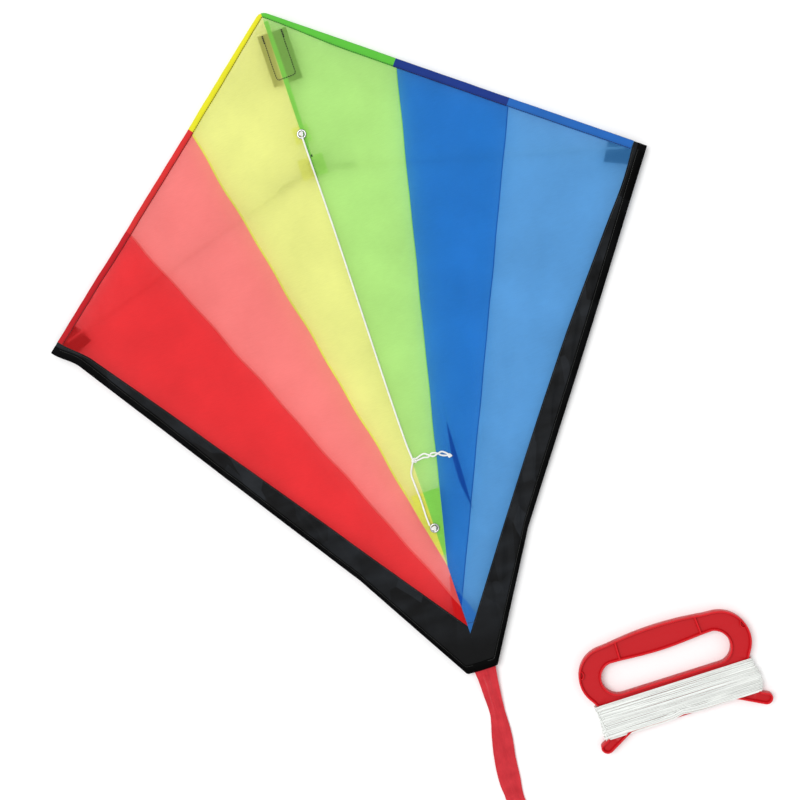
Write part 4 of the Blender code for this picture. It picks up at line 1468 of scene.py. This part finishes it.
def frame_outline():
    """The winder's outer edge, anticlockwise, in its own frame."""
    half = [
        (0.0535, NECK_END - 0.0004), *arc((0.0805, -0.0638), (0.0065, 0.0065), -110, -10, 12),
        (0.0871, -0.0640), (0.0863, -0.0610), (0.0800, -0.0582), (0.0772, -0.0568),
        (NECK_X, -0.0545), (NECK_X, -0.0400), (NECK_X, NECK_TOP - 0.0010),
        (NECK_X + 0.0004, NECK_TOP + 0.0004), *arc((0.0560, 0.0020), (0.0302, 0.0304), -38, 84, 30),
    ]
    return mirrored(half, [(x, grip_top(x)) for x in np.linspace(0.052, -0.052, 30)[1:-1]])


def finger_outline():
    """The finger hole's edge."""
    end = arc((0.0492, -0.0012), (0.0157, 0.0162), -84, 78, 34)
    return mirrored(end, [(x, grip_base(x)) for x in np.linspace(0.040, -0.040, 24)])


def closed_route(points, spacing):
    """A closed line with even points, its corners rounded by repeated averaging."""
    loop = np.array([*points, points[0]], float)
    line, _ = even(loop, spacing)
    line = line[:-1]
    for _ in range(3):
        line = (np.roll(line, 1, 0) + 2 * line + np.roll(line, -1, 0)) / 4
    return line


def inset(line, distance, outward=False):
    """The line moved sideways, smoothed so that tight corners don't cross."""
    normal = to_the_left(np.roll(line, -1, 0) - np.roll(line, 1, 0))
    moved = line + normal * (-distance if outward else distance)
    for _ in range(int(distance * 1500)):
        moved = (np.roll(moved, 1, 0) + 4 * moved + np.roll(moved, -1, 0)) / 6
    return moved


# The rim's section: how far in from the edge, and how high over the web's middle plane
RIM = (
    (0.0, 0.0042), (0.00035, 0.0048), (0.0010, 0.0050), (0.0016, 0.0048),
    (0.0019, 0.0042), (0.0022, 0.0018), (0.0027, 0.0013),
)
# A rib's section: how far beside its middle, in half widths, and its height
RIB = (
    (-1.5, 0.0010), (-1.0, 0.0018), (-0.95, 0.0040), (-0.6, 0.0046),
    (0.6, 0.0046), (0.95, 0.0040), (1.0, 0.0018), (1.5, 0.0010),
)


class KITE_OT_winder(bpy.types.Operator):
    """Mould the winder: rims, recessed web, ribs, notches and prongs"""

    bl_idname = "kite.winder"
    bl_label = "Line winder"

    def execute(self, context):
        # The plastic's web round the middle plane gets painted shade, darker than the rims
        plastic = finish(
            "winder_plastic", moulded, tint("winder_plastic"), specular=0.26, middle=WEB_MIDDLE
        )
        bm = bmesh.new()
        edges = {1: [], -1: []}
        for outline, outward in ((frame_outline(), False), (finger_outline(), True)):
            line = closed_route(outline, 0.0010)
            base = [bm.verts.new(v) for v in self.lifted(line, 0.0)]
            for face in (1, -1):
                before = base
                for depth, rise in RIM:
                    spots = self.lifted(inset(line, depth, outward), rise * face)
                    ring = [bm.verts.new(v) for v in spots]
                    for a, b, c, d in zip(before, self.after(before), self.after(ring), ring):
                        bm.faces.new((a, b, c, d))
                    before = ring
                edges[face] += [bm.edges.get(ends) for ends in zip(before, self.after(before))]
        for face in (1, -1):
            bmesh.ops.triangle_fill(bm, use_beauty=True, use_dissolve=False, edges=edges[face])
        bmesh.ops.recalc_face_normals(bm, faces=bm.faces)
        mesh = bpy.data.meshes.new("winder_body")
        bm.to_mesh(mesh)
        bm.free()
        mesh.shade_smooth()
        mesh.set_sharp_from_angle(angle=math.radians(42))
        mesh.materials.append(plastic)
        body = bpy.data.objects.new("winder_body", mesh)
        context.scene.collection.objects.link(body)
        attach(body, "winder")
        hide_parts("winder_frame")
        self.ribs(plastic)
        return {"FINISHED"}

    def after(self, ring):
        return [*ring[1:], ring[0]]

    def lifted(self, line, rise):
        """The ring at this height; the frame is thinner where the line is wound."""
        waist = smoothstep(NECK_TOP + 0.0015, NECK_TOP - 0.0005, line[:, 1])
        waist = waist * smoothstep(NECK_END - 0.0012, NECK_END + 0.0006, line[:, 1])
        return from_winder(np.column_stack([line, WEB_MIDDLE + rise * (1 - 0.5 * waist)]))

    def ribs(self, plastic):
        """The grip's cross ribs, and the small round walls where the line's end can be tied."""
        verts, faces = [], []
        for face in (1, -1):
            for x in (-0.0408, 0.0408):
                low, top = grip_base(x) + 0.0008, grip_top(x) - 0.0010
                lean = -0.0004 * np.sign(x)
                path = [(x - lean, low), (x, (low + top) / 2), (x + lean, top)]
                self.wall(verts, faces, path, 0.0010, face)
            for x, y, first, last in ((0.0838, 0.0122, 112, 262), (-0.0838, 0.0122, 68, -82)):
                path = arc((x, y), (0.0043, 0.0043), first, last, 12)
                self.wall(verts, faces, path, 0.0006, face)
        ribs = to_object(
            "winder_ribs", verts, faces, plastic, "winder", "winder_plastic", closed=True
        )
        ribs.data.set_sharp_from_angle(angle=math.radians(50))

    def wall(self, verts, faces, path, half, face):
        """Add a low wall that stands on the web along a path, on one face of the winder."""
        path = np.array(path, float)
        start, n = len(verts), len(RIB)
        for spot, across in zip(path, to_the_left(np.gradient(path, axis=0))):
            for shift, rise in RIB:
                flat = spot + across * half * shift
                verts.append(from_winder([flat[0], flat[1], WEB_MIDDLE + rise * face]))
        last = len(verts) - n
        faces += [tuple(f) for f in grid_faces(len(path), n, wrap=True, offset=start)]
        faces += [tuple(range(start, start + n)), tuple(range(last, last + n))]


SETTINGS = {"kite_colours": KiteColours, "kite_sizes": KiteSizes, "kite_stage": StageSizes}


class KITE_PT_pieces(bpy.types.Panel):
    """The kite's pieces, in the order in which they are made"""

    bl_idname = "KITE_PT_pieces"
    bl_label = "Diamond kite"
    bl_space_type = "VIEW_3D"
    bl_region_type = "UI"
    bl_category = "Kite"

    def draw(self, context):
        for operator in OPERATORS:
            self.layout.operator(operator.bl_idname)
        for group in SETTINGS:
            box = self.layout.box()
            settings = getattr(context.scene, group)
            for key in settings.__annotations__:
                box.prop(settings, key)


OPERATORS = [
    KITE_OT_stage, KITE_OT_bridle, KITE_OT_line, KITE_OT_panels, KITE_OT_trims,
    KITE_OT_pockets, KITE_OT_metal, KITE_OT_tail, KITE_OT_winder,
]
CLASSES = [*SETTINGS.values(), *OPERATORS, KITE_PT_pieces]


def register():
    for made in CLASSES:
        bpy.utils.register_class(made)
    for group, kind in SETTINGS.items():
        setattr(bpy.types.Scene, group, bpy.props.PointerProperty(type=kind))


def unregister():
    for group in SETTINGS:
        delattr(bpy.types.Scene, group)
    for made in reversed(CLASSES):
        bpy.utils.unregister_class(made)


def main():
    register()
    for operator in OPERATORS:
        getattr(bpy.ops.kite, operator.bl_idname.split(".")[1])()
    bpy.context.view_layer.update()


if __name__ == "__main__":
    main()
